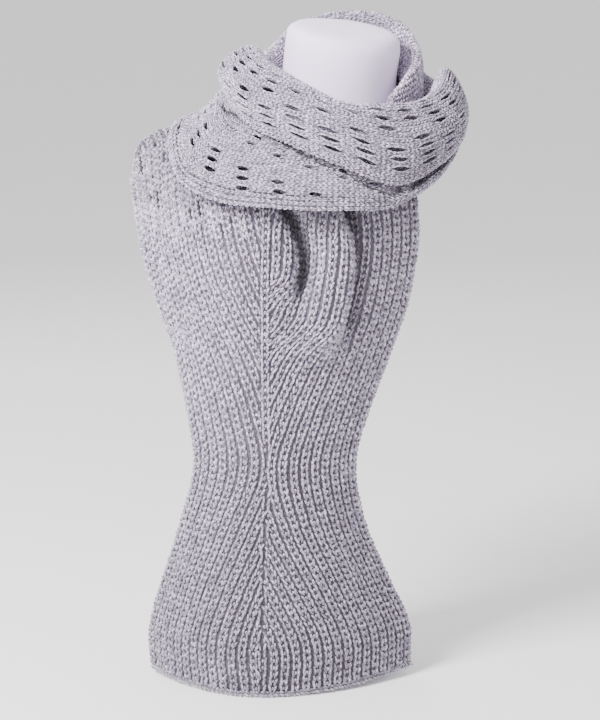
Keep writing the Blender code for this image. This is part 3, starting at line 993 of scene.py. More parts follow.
@dataclass
class Tail:
    """The hanging tail, ribbed along its length, with a spine that its two halves' ribs run into.

    Attributes:
        rib_pitch: Spacing of the ribs, from each side edge inwards.
        stitch: Length of one stitch along a rib.
        edge_stitch: Length of one stitch along an edge.
        spine_from: Row where the chain on the spine starts.
        spine_room: Room that the ribs leave beside the spine, where it has its chain and below that.
        fade: Heights between which the folds of the right half die out.
        fold_rise: Height over which a fold rises from its foot.
        fold_depth: Depth of a fold whose valley is fully in painted shade.
        painted_shadows: Painted shadow of the wrap on the whole tail and on its right half, each with its
            depth and the
        heights where it starts and is full.
        sunk: Depth of the shell below the face.
        cells: Rows and columns of the shell's grid.
        rib: The Vs of a rib.
        bridge: The strand between a rib's legs.
        filler: The Vs that close a groove.
        slit: The strand far down in a slit, painted dark as shade.
        smooth_from: Height of the spine above which the left half's grooves close, but for a few slits.
        smooth_to: Row where they stop, short of the seam.
        slits: Ranges of the first slit's place, a slit's length and their spacing, in half stitches.
        slit_painted_shade: Painted shade on the strands in the slits.
        edge: The Vs of the edges.
        samples: Grid rows between two rows of the table.
        columns: Grid cells across.
        face: The face as a fine grid.
        row_numbers: Row of the table at each grid row.
        crease: Painted shade at each grid point, in the folds' valleys and the wrap's painted shadow.
        reach: Distances along each half's grid rows, from its side edge.
    """

    rib_pitch: float = 11.0 * MM
    stitch: float = 7.0 * MM
    edge_stitch: float = 5.0 * MM
    spine_from: float = 4.45
    spine_room: tuple[float, float] = (4.4 * MM, 0.9 * MM)
    fade: tuple[float, float] = (486.0 * MM, 515.0 * MM)
    fold_rise: float = 45.0 * MM
    fold_depth: float = 15.0 * MM
    painted_shadows: tuple[tuple[float, float, float], ...] = ((0.3, 0.466, 0.482), (0.25, 0.442, 0.474))
    sunk: float = 0.5 * MM
    cells: tuple[int, int] = (96, 73)
    rib: Chain = Chain(2.55 * MM, math.radians(11), 2.75 * MM, 4.6 * MM, 1.40, 0.9 * MM)
    bridge: Chain = Chain(0.0, 0.0, 3.0 * MM, 3.4 * MM, 0.62, 0.6 * MM)
    filler: Chain = Chain(1.1 * MM, math.radians(16), 2.3 * MM, 3.2 * MM, 1.25, 0.9 * MM)
    slit: Chain = Chain(0.0, 0.0, 2.3 * MM, 5.0 * MM, 1.6, 1.1 * MM)
    smooth_from: float = 446.0 * MM
    smooth_to: float = 12.7
    slits: tuple[tuple[int, int], ...] = ((1, 22), (2, 6), (9, 24))
    slit_painted_shade: float = 1.12
    edge: Chain = Chain(1.4 * MM, math.radians(20), 2.3 * MM, 2.6 * MM, 1.35, 0.2 * MM)
    samples: int = 20
    columns: int = 160
    face: Face = field(init=False)
    row_numbers: Array = field(init=False)
    crease: Array = field(init=False)
    reach: dict[Side, Array] = field(init=False)

    def __post_init__(self) -> None:
        """Work out the tail's face as a fine grid."""
        rows = np.linspace(0, len(TAIL_ROWS) - 1, (len(TAIL_ROWS) - 1) * self.samples + 1)
        across = np.linspace(-1, 1, self.columns + 1)
        r, a = (g.ravel() for g in np.meshgrid(rows, across, indexing="ij"))
        shape = (len(rows), len(across), 3)
        points, outward = self.surface(r, a), self.outward(r, a)
        rails = self.rails(r)
        width = np.hypot(*(rails[:, 1] - rails[:, 2])[:, :2].T)
        folds = self.fold_lift((1 - a) * width, rails[:, 1, 2]) * step(0.0, 0.08, a)
        self.face = Face((points + outward * folds[:, None]).reshape(shape), outward.reshape(shape))
        place = self.face.points
        # Painted shade: the folds' valleys darken, and a painted shadow of the wrap darkens the tail's top,
        # more on its right half.
        whole, right = (depth * step(low, high, place[..., 2]) for depth, low, high in self.painted_shadows)
        painted_shadow = whole + right * step(0.05, 0.2, a.reshape(shape[:2]))
        self.crease = np.clip(step(0.0, 1.0, -folds.reshape(shape[:2]) / self.fold_depth) + painted_shadow, 0, 1)
        self.face.outward = unit(np.cross(np.gradient(place, axis=1), np.gradient(place, axis=0)))
        self.row_numbers = rows
        steps = np.linalg.norm(np.diff(place, axis=1), axis=2)
        middle = self.columns // 2
        self.reach = {
            Side.LEFT: np.cumsum(steps[:, :middle], axis=1),
            Side.RIGHT: np.cumsum(steps[:, :middle - 1:-1], axis=1),
        }

    @staticmethod
    def rails(row: Array) -> Array:
        """Left edge, spine and right edge at rows of the table."""
        return smooth(range(len(TAIL_ROWS)), TAIL_ROWS, row)[:, :9].reshape(-1, 3, 3) * MM

    def place_at(self, side: Side, distance: float) -> Array:
        """Place across at a distance along the face from one edge, for every grid row.

        Args:
            side: Which half.
            distance: Distance from that half's edge.

        Returns:
            The place across at each row, 0 where the distance is past the spine.
        """
        reach = np.concatenate([np.zeros((len(self.row_numbers), 1)), self.reach[side]], axis=1)
        cells = np.array([np.interp(distance, row, np.arange(len(row))) for row in reach])
        return side.value * (1 - cells / (self.columns / 2))

    def surface(self, row: Array, across: Array) -> Array:
        """Plain points of the tail.

        Args:
            row: Rows of the table, which may be fractions.
            across: -1 at the left edge, 0 on the spine, 1 at the right edge.

        Returns:
            One point for each.
        """
        rails = self.rails(row)
        edge = np.where((across < 0)[:, None], rails[:, 0], rails[:, 2])
        share = 1 - np.abs(across)
        bow = 1 - (1 - share) ** np.interp(row, range(len(TAIL_ROWS)), [r.bow for r in TAIL_ROWS])
        return edge + (rails[:, 1] - edge) * np.stack([share, bow, bow], axis=1)

    def outward(self, row: Array, across: Array) -> Array:
        """Unit directions out of the tail's plain face, level with the seam at its last row."""
        last = len(TAIL_ROWS) - 1
        rise = self.surface(np.minimum(row + 0.05, last), across) - self.surface(row - 0.05, across)
        left, right = np.maximum(across - 0.06, -1), np.minimum(across + 0.06, 1)
        outward = np.cross(self.surface(row, right) - self.surface(row, left), rise)
        outward[:, 1] *= row < last
        return unit(outward)

    def fold_lift(self, distance: Array, z: Array) -> Array:
        """How far the right half's folds lift its face.

        Args:
            distance: Distance from the right edge.
            z: Height of the row's spine.

        Returns:
            The lift in metres.
        """
        lift = np.zeros_like(distance)
        for fold in FOLDS:
            heights = np.array([fold.low_z, fold.middle_z, fold.top_z]) * MM
            centre = smooth(heights, np.array([[fold.low_d], [fold.middle_d], [fold.top_d]]) * MM, z)[:, 0]
            spread = np.exp(-(((distance - centre) / (fold.half_width * MM)) ** 2))
            lift += fold.depth * MM * spread * step(heights[0], heights[0] + self.fold_rise, z)
        return lift * (1 - step(*self.fade, z))

    def column(self, across: Array) -> Array:
        """Grid column of a place across."""
        return (across + 1) / 2 * self.columns

    def build_cloth(self, shade_yarn: bpy.types.Material) -> bpy.types.Object:
        """The closed shell under the ribs.

        Args:
            shade_yarn: Its material, a darker yarn as painted shade between the ribs.

        Returns:
            The shell.
        """
        rows = np.linspace(0, self.samples * (len(TAIL_ROWS) - 1), self.cells[0])
        columns = np.linspace(0, self.columns, self.cells[1])
        points, _ = self.face.at(*np.meshgrid(rows, columns, indexing="ij"), -self.sunk)
        return thicken(cloth_grid("tail_cloth", points, set()), WALL - self.sunk, shade_yarn, shade_yarn)

    def stations(self, row: Array, across: Array, spacing: float) -> tuple[Array, Array]:
        """Evenly spaced places along a line on the face.

        Args:
            row: Rows of the line's samples.
            across: Their places across.
            spacing: Distance wanted between places.

        Returns:
            Rows and places across.
        """
        points, _ = self.face.at(row * self.samples, self.column(across))
        reach = reach_along(points)
        at = np.arange(spacing / 2, reach[-1], spacing)
        return np.interp(at, reach, row), np.interp(at, reach, across)

    def clear_of_spine(self, side: Side, points: Array) -> Array:
        """Which points are on their own side of the spine, and clear of its chain where it has one."""
        rows = np.interp(points[:, 2], self.face.points[:, self.columns // 2, 2], self.row_numbers)
        spine = self.rails(rows)[:, 1, 0]
        return (points[:, 0] - spine) * side.value > np.where(rows > self.spine_from, *self.spine_room)

    def run(self, bank: Stitches, row: Array, across: Array, shape: Chain, back: bool = False,
            keep: Callable[[Array], Array] | None = None) -> None:
        """Lay a chain of stitches along a line on the face.

        Args:
            bank: Where the legs go.
            row: Rows of the line's samples.
            across: Their places across.
            shape: The V's proportions.
            back: Whether it lies on the tail's back.
            keep: Says which legs stay, by their middles.
        """
        if len(row) < 4:
            return
        r, a = self.stations(row, across, self.stitch)
        if len(r) < 2:
            return
        centre, along, outward, crease = self.lie(r, a, -WALL if back else 0.0)
        if back:
            outward, crease = -outward, 0.0
        bank.chain(centre, along, outward, self.stitch, shape, keep, crease)

    def lie(self, row: Array, across: Array, lift: float = 0.0) -> tuple[Array, ...]:
        """How a line of stitches lies on the face.

        Args:
            row: Row of each stitch.
            across: Its place across.
            lift: Height above the face.

        Returns:
            Middles, directions of the line, outward directions and painted shade.
        """
        r, c = row * self.samples, self.column(across)
        centre, outward = self.face.at(r, c, lift)
        crease = self.crease[np.rint(r).astype(int), np.rint(c).astype(int)]
        return centre, way_along(centre), outward, crease

    def rib_lines(self, side: Side) -> Iterable[tuple[Array, Array]]:
        """The lines of one half's ribs, each cut where it meets the spine.

        Args:
            side: Which half.

        Yields:
            Rows and places across of each stretch of a rib.
        """
        width = self.reach[side][:, -1] + 0.4 * self.rib_pitch
        for k in range(int(width.max() / self.rib_pitch) + 1):
            distance = (k + 0.5) * self.rib_pitch
            across = self.place_at(side, distance)
            inside = distance < width
            edges = np.flatnonzero(np.diff(np.concatenate([[0], inside.astype(int), [0]])))
            for low, high in edges.reshape(-1, 2):
                yield self.row_numbers[low:high], across[low:high]

    def build_ribs(self, side: Side, back: bool) -> Stitches:
        """The ribs of one half on the front or the back.

        Args:
            side: Which half.
            back: Whether on the back.

        Returns:
            The legs.
        """
        bank = Stitches(RIB_SEED + side.value + 5 * back)
        for row, across in self.rib_lines(side):
            for shape in (self.rib,) if back else (self.rib, self.bridge):
                self.run(bank, row, across, shape, back, lambda points: self.clear_of_spine(side, points))
        if side is Side.LEFT and not back:
            self.add_fillers(bank)
        return bank

    def add_fillers(self, bank: Stitches) -> None:
        """Small chains that close the left half's grooves below the wrap, in runs with slits between.

        Args:
            bank: Where the legs go.
        """
        heights = self.face.points[:, self.columns // 2, 2]
        low = int(np.argmax(heights > self.smooth_from))
        first, length, spacing = self.slits
        for k in range(1, int(self.reach[Side.LEFT][:, -1].max() / self.rib_pitch) - 1):
            across = self.place_at(Side.LEFT, k * self.rib_pitch)
            r, a = self.stations(self.row_numbers[low:], across[low:], self.stitch / 2)
            cut = np.zeros(len(r), bool)
            at = int(bank.random.integers(*first))
            while at < len(r):
                cut[at:at + int(bank.random.integers(*length))] = True
                at += int(bank.random.integers(*spacing))
            *line, crease = self.lie(r, a)
            inside = (a < -0.03) & (r < self.smooth_to) & (np.arange(len(r)) > bank.random.integers(0, 5))
            every_other = np.flatnonzero(inside & ~cut)[::2]
            bank.chain(*line, self.stitch, self.filler, crease=crease, only=every_other)
            # The strands down in the slits are painted nearly black as shade.
            bank.chain(*line, self.stitch / 2, self.slit, crease=self.slit_painted_shade, only=cut & inside)

    def build_trim(self) -> Stitches:
        """The chain on the spine, the selvedges and the cast-off hem.

        Returns:
            The legs.
        """
        bank = Stitches(TRIM_SEED)
        rows = self.row_numbers[self.row_numbers > self.spine_from]
        for shape in (self.rib, self.bridge):
            self.run(bank, rows, np.zeros_like(rows), shape)
        for side in Side:
            line = self.row_numbers, np.full_like(self.row_numbers, side.value)
            centre, along, outward, _ = self.lie(*self.stations(*line, self.edge_stitch), -WALL / 2)
            aside = unit(np.cross(along, outward)) * side.value
            bank.chain(centre + aside * 0.3 * MM, along, aside, self.edge_stitch, self.edge)
        line = np.zeros(400), np.linspace(-1, 1, 400)
        centre, along, outward, _ = self.lie(*self.stations(*line, self.edge_stitch), -WALL / 2)
        down = unit(np.cross(outward, along))
        for lean in (0.0, 0.55):
            bank.chain(centre - down * lean * 4 * MM + outward * lean * 3 * MM, along,
                       unit(down + outward * lean * 1.6), self.edge_stitch, self.edge)
        return bank

    def build(self, wool: Wool, shade_wool: Wool, leg: Leg, plain_leg: Leg) -> list[bpy.types.Object]:
        """Build and dress the tail.

        Args:
            wool: The yarn.
            shade_wool: The darker yarn of the shell, as painted shade between the stitches.
            leg: The leg of the front's stitches.
            plain_leg: The simpler leg of the back's stitches.

        Returns:
            The shell first, then its stitches.
        """
        yarn, shade_yarn = wool.material(), shade_wool.material()
        cloth = dress(self.build_cloth(shade_yarn), None)
        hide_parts("tail_front")
        knit = []
        for side in Side:
            word = side.name.lower()
            knit.append(self.build_ribs(side, False).lay(f"tail_{word}_ribs", leg))
            knit.append(self.build_ribs(side, True).lay(f"tail_{word}_back_ribs", plain_leg))
        knit.append(self.build_trim().lay("tail_spine_and_edges", leg))
        return [cloth, *(dress(piece, yarn) for piece in knit)]


@dataclass(frozen=True)
class Stretch:
    """One stretch of the wound strip.

    Attributes:
        name: The node's name.
        start: Turn angle where it starts.
        end: Turn angle where it ends.
        lace_rows: Rows of lace gaps across it.
        columns: Columns of lace gaps along it.
        opening: A gap's share of its full length.
        shown: Share of its section, from the low edge, that carries stitches.
        hold: How the cloth is held; not used.
        flat: Width and length of the cut that shows, in metres; not used.
    """

    name: str
    start: float
    end: float
    lace_rows: int
    columns: int
    opening: float
    shown: float
    hold: Hold
    flat: tuple[float, float]

    def is_open(self, column: int, row: int) -> bool:
        """Whether a lace column has a gap at a row. Where the gaps are drawn nearly shut, fewer show."""
        if self.opening < 1:
            return (column * 7 + row * 3) % 5 not in (0, 2)
        return row != 3 + column % 2


# Share by which a lace gap's outline closes at each of its grid lines, from end to end.
LENS = np.array([0.72, 0.16, 0.0, 0.16, 0.72])

# Grid lines before the first gap, along and across, and lines between two gaps along the strip.
LEAD_LINES, SPARE_LINES = 2, 2

# Turn angles between which the lower wrap crosses the front.
LOWER_FROM, LOWER_TO = 180, 360

# How far the section's four lines move towards the neck at the collar's end, and the turn angles where that
# starts and is full.
TUCK = np.array([1.0, 2.0, 4.0, 5.5]) * MM
TUCK_TURNS = (846, 884)

STRETCHES = [
    Stretch("under_wrap_back", 0, 180, 0, 20, 0, 0.70, Hold.DRAPED, (0.12, 0.45)),
    Stretch("lower_wrap_front", 180, 360, 7, 13, 0.66, 0.85, Hold.GATHERED, (0.09, 0.38)),
    Stretch("middle_wrap_back", 360, 540, 8, 13, 1, 1.0, Hold.GATHERED, (0.12, 0.42)),
    Stretch("upper_wrap_front", 540, 720, 8, 12, 1, 1.0, Hold.GATHERED, (0.12, 0.36)),
    Stretch("collar_wrap_back", 720, 900, 0, 18, 0, 1.0, Hold.DRAPED, (0.10, 0.26)),
    Stretch("tucked_end", 900, 945, 0, 5, 0, 1.0, Hold.DRAPED, (0.07, 0.06)),
]


@dataclass
class Wrap:
    """The strip wound round the neck, as one face read by turn angle and share of its section.

    Attributes:
        wale: Spacing of the wales across the strip.
        stitch: Length of a stitch along the strip, on its belly.
        border: Plain border below the lace.
        gap_pitch: Spacing of the lace gaps across the strip.
        gap_share: A gap's height as a share of that.
        gap_length: A gap's length.
        column_pitch: Spacing of the lace columns along the strip.
        slant: Turn angle from one lace row to the next.
        step: Turn angle between grid rows, in degrees.
        shares: Grid cells across the section.
        rest: Turn angles between which the inner edge rests on the bust.
        plain: The Vs of most of the strip.
        ridge: The Vs of the ridged border.
        ridges: Number of the border's ridges.
        strand: The strands round a lace gap.
        line: The strands painted dark as shade in the lower wrap's border.
        lines: Their distances from the low edge, each with its painted shade.
        crevice: The strand painted dark as shadow under the upper wrap's edge.
        crevice_turns: Turn angles between which that runs.
        rim: The Vs of both edges.
        curl: Depth and breadth of the low edge's roll.
        press: Depth and half width of the trough that the upper wrap's edge presses into the lower wrap.
        ease: Share by which that gets shallower to the right, and the turn angles between which it does.
        shade: Half width of the painted shade in that trough.
        first_wale: Distance of the first wale from the low edge.
        gap_wale: Wale that the lowest gaps lie on. The next gaps lie two wales on.
        gap_room: Turn angle kept clear of stitches beyond each end of a gap.
        sunk: Depth of the shells below the face.
        cell: Turn angle between the grid lines of a stretch without lace.
        cells: Grid lines above the lace, and those across a stretch without lace.
        inner_width: Width of the strip that its inner stitches are spaced on.
        upright_from: Turn angle past which the strip turns down, so that its columns run up and down.
        upright_pitch: Turn angle between those columns.
        face: The face as a fine grid.
        turns: Turn angle of each grid row.
        lengths: Width of the strip at each grid row.
        pressed: Distance of the trough from the low edge at each grid row.
        scale: Width of the strip that its wales are counted on, at each grid row.
        stations: Turn angles of the stitches.
    """

    wale: float = 4.3 * MM
    stitch: float = 5.0 * MM
    border: float = 11.0 * MM
    gap_pitch: float = 8.6 * MM
    gap_share: float = 0.58
    gap_length: float = 15.5 * MM
    column_pitch: float = 28.5 * MM
    slant: float = 1.1
    step: float = 1.0
    shares: int = 90
    rest: tuple[float, float] = (15.0, 165.0)
    plain: Chain = Chain(1.12 * MM, math.radians(20), 1.9 * MM, 2.4 * MM, 1.30, 0.25 * MM)
    ridge: Chain = Chain(0.85 * MM, math.radians(15), 1.7 * MM, 2.8 * MM, 1.35, 0.5 * MM)
    strand: Chain = Chain(0.0, 0.0, 1.6 * MM, 2.0 * MM, 1.55, 0.9 * MM)
    line: Chain = Chain(0.0, 0.0, 1.7 * MM, 3.2 * MM, 1.30, 0.7 * MM)
    crevice: Chain = Chain(0.0, 0.0, 2.2 * MM, 3.2 * MM, 1.45, 0.6 * MM)
    rim: Chain = Chain(1.0 * MM, math.radians(18), 1.9 * MM, 2.2 * MM, 1.30, 0.1 * MM)
    ridges: int = 3
    lines: tuple[tuple[float, float], ...] = ((6.9 * MM, 0.9), (11.2 * MM, 1.08))
    crevice_turns: tuple[float, float] = (192, 348)
    curl: tuple[float, float] = (2.2 * MM, 5.5 * MM)
    press: tuple[float, float] = (4.5 * MM, 3.2 * MM)
    ease: tuple[float, float, float] = (0.4, 285, 320)
    shade: float = 2.4 * MM
    first_wale: float = 0.42 * MM
    gap_wale: int = 3
    gap_room: float = 0.8
    sunk: float = 0.4 * MM
    cell: float = 2.6
    cells: tuple[int, int] = (7, 25)
    inner_width: float = 85.0 * MM
    upright_from: float = 858.0
    upright_pitch: float = 2.9
    face: Face = field(init=False)
    turns: Array = field(init=False)
    lengths: Array = field(init=False)
    pressed: Array = field(init=False)
    scale: Array = field(init=False)
    stations: Array = field(init=False)

    def __post_init__(self) -> None:
        """Work out the strip's face as a fine grid, and its stitch stations."""
        self.turns = np.arange(0, STRETCHES[-1].end + self.step / 2, self.step)
        lines = np.array([self.section(turn) for turn in self.turns])
        at = np.linspace(0, 1, self.shares + 1)
        points, outward, length, pressed = [], [], [], []
        for turn, four in zip(self.turns, lines):
            reach = np.concatenate([[0], np.cumsum(np.hypot(*np.diff(four, axis=0).T))])
            outer = smooth(reach, four, at * reach[-1])
            run = smooth(reach, four, at * reach[-1] + MM) - smooth(reach, four, at * reach[-1] - MM)
            way = np.stack([run[:, 1], -run[:, 0]], axis=1) / np.hypot(*run.T)[:, None]
            sink, middle = self.sink(turn, at * reach[-1], outer)
            outer = outer + way * sink[:, None]
            pressed.append(middle)
            theta = math.radians(-90 - turn)
            aside = np.array([math.sin(theta), -math.cos(theta)])
            points.append(np.column_stack([np.outer(outer[:, 0], aside) + (NECK_X, NECK_Y), outer[:, 1]]))
            outward.append(np.column_stack([np.outer(way[:, 0], aside), way[:, 1]]))
            length.append(reach[-1])
        place = np.array(points)
        normal = unit(np.cross(np.gradient(place, axis=0), np.gradient(place, axis=1)))
        normal *= np.sign((normal * np.array(outward)).sum(axis=2, keepdims=True))
        self.face = Face(place, normal)
        self.lengths = np.array(length)
        self.pressed = np.array(pressed)
        middles = [(s.start + s.end) / 2 for s in STRETCHES]
        self.scale = np.interp(self.turns, middles, np.interp(middles, self.turns, self.lengths))
        belly = self.face.points[:, self.shares // 3]
        reach = reach_along(belly)
        self.stations = np.interp(np.arange(self.stitch / 2, reach[-1], self.stitch), reach, self.turns)

    def sink(self, turn: float, distance: Array, outer: Array) -> tuple[Array, float]:
        """How far the face is moved, by the roll of its low edge and by the edge that lies on it.

        Args:
            turn: The turn angle.
            distance: Distances from the low edge.
            outer: Radius and height of the plain face at them.

        Returns:
            Moves along the outward directions, and that edge's distance from the low edge.
        """
        depth, breadth = self.curl
        lift = -depth * np.clip(1 - distance / breadth, 0, 1) ** 2
        if not LOWER_FROM < turn < LOWER_TO:
            return lift, 0.0
        edge = smooth([row.turn for row in WRAP_ROWS], [row[1:3] for row in WRAP_ROWS], turn + 360)[0] * MM
        ease, easing, eased = self.ease
        rising = outer[:int(0.7 * len(outer))]
        middle = distance[np.argmin(np.hypot(*(rising - edge).T))] - 0.8 * MM
        share = between((184, 205), (335, 358), turn) * (1 - ease * step(easing, eased, turn))
        lift = lift - self.press[0] * share * np.exp(-(((distance - middle) / self.press[1]) ** 2))
        return lift, middle

    def painted_shade_at(self, turns: Array, distance: Array) -> Array:
        """Painted shade at places of the face in the crevice under the upper wrap's edge, 0 to 1."""
        middle = np.interp(turns, self.turns, self.pressed)
        share = between((184, 200), (335, 358), turns)
        return share * np.exp(-(((distance - middle) / self.shade) ** 2))

    def section(self, turn: float) -> Array:
        """The four section lines at a turn angle, as radius and height pairs."""
        lines = smooth([row.turn for row in WRAP_ROWS], [row[1:] for row in WRAP_ROWS], turn)[0] * MM
        lines = lines.reshape(4, 2)
        lines[:, 0] -= TUCK * step(*TUCK_TURNS, turn)
        first, last = self.rest
        if first <= turn <= last:
            share = between((first, first + 20), (last - 20, last), turn)
            slope = lines[3] - lines[2]
            inward = np.array([slope[1], -slope[0]]) / np.hypot(*slope) * WALL
            bust = Bust.radius(math.radians(-90 - turn), lines[3, 1] - abs(inward[1]))
            lines[3, 0] += (bust + abs(inward[0]) + REST_GAP - lines[3, 0]) * share
        return lines

    def share_at(self, turn: Array, distance: Array) -> Array:
        """Share of the section at a distance from the low edge, on one scale along the whole strip."""
        return distance / np.interp(turn, self.turns, self.scale)

    def lean_at(self, stretch: Stretch, turn: Array, distance: Array) -> Array:
        """Turn angle that the slant of the lace columns adds at a distance from the low edge.

        Args:
            stretch: The stretch.
            turn: Turn angles.
            distance: Distances from the low edge.

        Returns:
            Angles in degrees, 0 at the stretch's ends.
        """
        row = (distance - self.border) / self.gap_pitch - 3
        start, end = stretch.start, stretch.end
        return self.slant * row * between((start, start + 20), (end - 20, end), turn)

    def gaps(self, stretch: Stretch) -> Iterable[tuple[int, float, float]]:
        """The lace gaps of a stretch.

        Args:
            stretch: The stretch.

        Yields:
            Its row, and its start and end turn angles before the slant.
        """
        pitch = (stretch.end - stretch.start) / stretch.columns
        opening = stretch.opening * self.gap_length / self.column_pitch * pitch
        for column in range(stretch.columns):
            start = stretch.start + pitch * (column + 0.5) - opening / 2
            for row in range(stretch.lace_rows):
                if stretch.is_open(column, row):
                    yield row, start, start + opening

    def lace_lines(self, stretch: Stretch, low: float, high: float) -> tuple[list[float], list[float]]:
        """Grid lines that fall on the ends and edges of a stretch's lace gaps.

        Args:
            stretch: The stretch.
            low: Turn angle where its shell starts.
            high: Turn angle where it ends.

        Returns:
            Turn angles along it and distances across it.
        """
        across = [0.0, 0.4 * self.border]
        for row in range(stretch.lace_rows):
            band = self.border + row * self.gap_pitch
            across += [band, band + self.gap_pitch * self.gap_share]
        pitch = (high - low) / stretch.columns
        opening = stretch.opening * self.gap_length / self.column_pitch * pitch
        spare = pitch - opening
        along = [low, low + spare / 4]
        for column in range(stretch.columns):
            start = low + pitch * (column + 0.5) - opening / 2
            along += list(start + opening * np.linspace(0, 1, len(LENS)))
            last = column == stretch.columns - 1
            along += list(start + opening + np.array([1 / 4] if last else [1 / 3, 2 / 3]) * spare)
        return along + [high], across

    def build_cloth(self, stretch: Stretch, shade_yarn: bpy.types.Material,
                    back: bpy.types.Material) -> bpy.types.Object:
        """The closed shell of one stretch, cut through at its lace gaps.

        Args:
            stretch: The stretch.
            shade_yarn: Material of its outer side, a darker yarn as painted shade between the stitches.
            back: Material of its inner side.

        Returns:
            The shell.
        """
        edge = math.degrees(SEAM_GAP / 2 / (80 * MM))
        low, high = stretch.start + edge, stretch.end - edge
        open_cells: set[tuple[int, int]] = set()
        if stretch.lace_rows:
            turns, distances = np.meshgrid(*self.lace_lines(stretch, low, high), indexing="ij")
            first = self.share_at(turns[:, -1:], distances[:, -1:]) + 0.03
            plain = first + (1 - first) * np.linspace(0, 1, self.cells[0])
            open_cells = self.cut_lenses(stretch, distances)
            shares = np.concatenate([self.share_at(turns, distances), plain], axis=1)
            turns = np.repeat(turns[:, :1], shares.shape[1], axis=1)
            turns += self.lean_at(stretch, turns, shares * np.interp(turns, self.turns, self.scale))
        else:
            along = np.linspace(low, high, max(3, int((stretch.end - stretch.start) / self.cell)))
            turns, shares = np.meshgrid(along, np.linspace(0, 1, self.cells[1]), indexing="ij")
        points, _ = self.face.at(turns / self.step, shares * self.shares, -self.sunk)
        piece = cloth_grid(stretch.name + "_cloth", points, open_cells)
        return thicken(piece, WALL - self.sunk, shade_yarn, back)

    @staticmethod
    def cut_lenses(stretch: Stretch, distances: Array) -> set[tuple[int, int]]:
        """Shape the cells of the lace gaps as lenses.

        Args:
            stretch: The stretch.
            distances: Distances from the low edge of the cloth's grid, which are moved.

        Returns:
            The open cells.
        """
        cells = set()
        for column in range(stretch.columns):
            first = LEAD_LINES + (len(LENS) + SPARE_LINES) * column
            for row in range(stretch.lace_rows):
                if not stretch.is_open(column, row):
                    continue
                low = LEAD_LINES + 2 * row
                middle = (distances[first, low] + distances[first, low + 1]) / 2
                for k, share in enumerate(LENS):
                    for line in (low, low + 1):
                        distances[first + k, line] += (middle - distances[first + k, line]) * share
                cells.update((first + k, low) for k in range(len(LENS) - 1))
        return cells

    def build_stitches(self, stretch: Stretch, number: int) -> Stitches:
        """The stitches of one stretch, with none across its lace gaps.

        Args:
            stretch: The stretch.
            number: Its place in the order, for its seed.

        Returns:
            The legs.
        """
        bank = Stitches(WRAP_SEED + number)
        inside = (self.stations > stretch.start) & (self.stations <= stretch.end)
        turns = self.stations[inside]
        self.add_rims(bank, turns)
        if stretch.end > self.upright_from:
            self.add_upright(bank, stretch)
            self.add_inside(bank, turns)
        for k in range(int(self.lengths.max() / self.wale) + 1):
            distance = self.first_wale + k * self.wale
            share = self.share_at(turns, distance)
            keep = (share <= min(stretch.shown, 0.985)) & (turns < self.upright_from)
            straight = turns - self.lean_at(stretch, turns, distance)
            for row, low, high in self.gaps(stretch):
                if k == self.gap_wale + 2 * row:
                    keep &= ~((straight > low - self.gap_room) & (straight < high + self.gap_room))
            shape = self.ridge if k < self.ridges and stretch.start < LOWER_TO else self.plain
            # Painted shade in the trough under the upper wrap's edge.
            crease = self.painted_shade_at(turns, distance)
            bank.chain(*self.course(turns, share), shape, crease=crease, only=keep)
        self.add_strands(bank, stretch)
        if stretch.start == LOWER_FROM:
            self.add_lines(bank, turns)
        return bank

    def add_lines(self, bank: Stitches, turns: Array) -> None:
        """Strands painted dark as shade in the lower wrap's border, and as a painted shadow under the upper
        wrap's edge.

        Args:
            bank: Where the legs go.
            turns: Turn angle of each stitch.
        """
        for distance, depth in self.lines:
            keep = bank.random.random(len(turns)) > 0.3
            share = self.share_at(turns, distance)
            bank.chain(*self.course(turns, share), self.line, crease=depth, only=keep)
        low, high = self.crevice_turns
        turns = turns[(turns > low) & (turns < high)]
        share = self.share_at(turns, np.interp(turns, self.turns, self.pressed) - 0.6 * MM)
        # A strand painted nearly black along the trough: a painted shadow under the upper wrap's edge.
        bank.chain(*self.course(turns, share), self.crevice, crease=1.15)

    def add_strands(self, bank: Stitches, stretch: Stretch) -> None:
        """The strands above and below each lace gap, along its lens shape.

        Args:
            bank: Where the legs go.
            stretch: The stretch.
        """
        half = self.gap_pitch * self.gap_share / 2
        bulge = half * (0.35 + 0.75 * (1 - LENS))
        for row, low, high in self.gaps(stretch):
            turns = np.linspace(low, high, len(LENS))
            for side in (-1, 1):
                distance = self.border + row * self.gap_pitch + half + side * bulge
                share = self.share_at(turns, distance)
                if share.max() > stretch.shown:
                    continue
                slanted = turns + self.lean_at(stretch, turns, distance)
                points, outward = self.face.at(slanted / self.step, share * self.shares)
                run = np.diff(points, axis=0)
                bank.chain((points[1:] + points[:-1]) / 2, unit(run), unit(outward[1:] + outward[:-1]),
                           np.linalg.norm(run, axis=1), self.strand)

    def course(self, turns: Array, share: Union[float, Array], lift: float = 0.0) -> tuple[Array, ...]:
        """Places of a chain that runs along the strip.

        Args:
            turns: Turn angle of each stitch.
            share: Share of the section.
            lift: Height above the face.

        Returns:
            Middles, directions of the run, outward directions and spacings.
        """
        share = np.broadcast_to(share, turns.shape)
        centre, outward = self.face.at(turns / self.step, share * self.shares, lift)
        ahead, _ = self.face.at((turns + 0.5) / self.step, share * self.shares, lift)
        behind, _ = self.face.at((turns - 0.5) / self.step, share * self.shares, lift)
        spacing = np.gradient(turns) * np.linalg.norm(ahead - behind, axis=1)
        return centre, unit(ahead - behind), outward, spacing

    def add_rims(self, bank: Stitches, turns: Array) -> None:
        """A chain round each of the strip's two edges.

        Args:
            bank: Where the legs go.
            turns: Turn angle of each stitch.
        """
        for share, near in ((0.0, 0.04), (1.0, 0.96)):
            centre, along, _, spacing = self.course(turns, share, -WALL / 2)
            beside, _ = self.face.at(turns / self.step, np.full(turns.shape, near * self.shares), -WALL / 2)
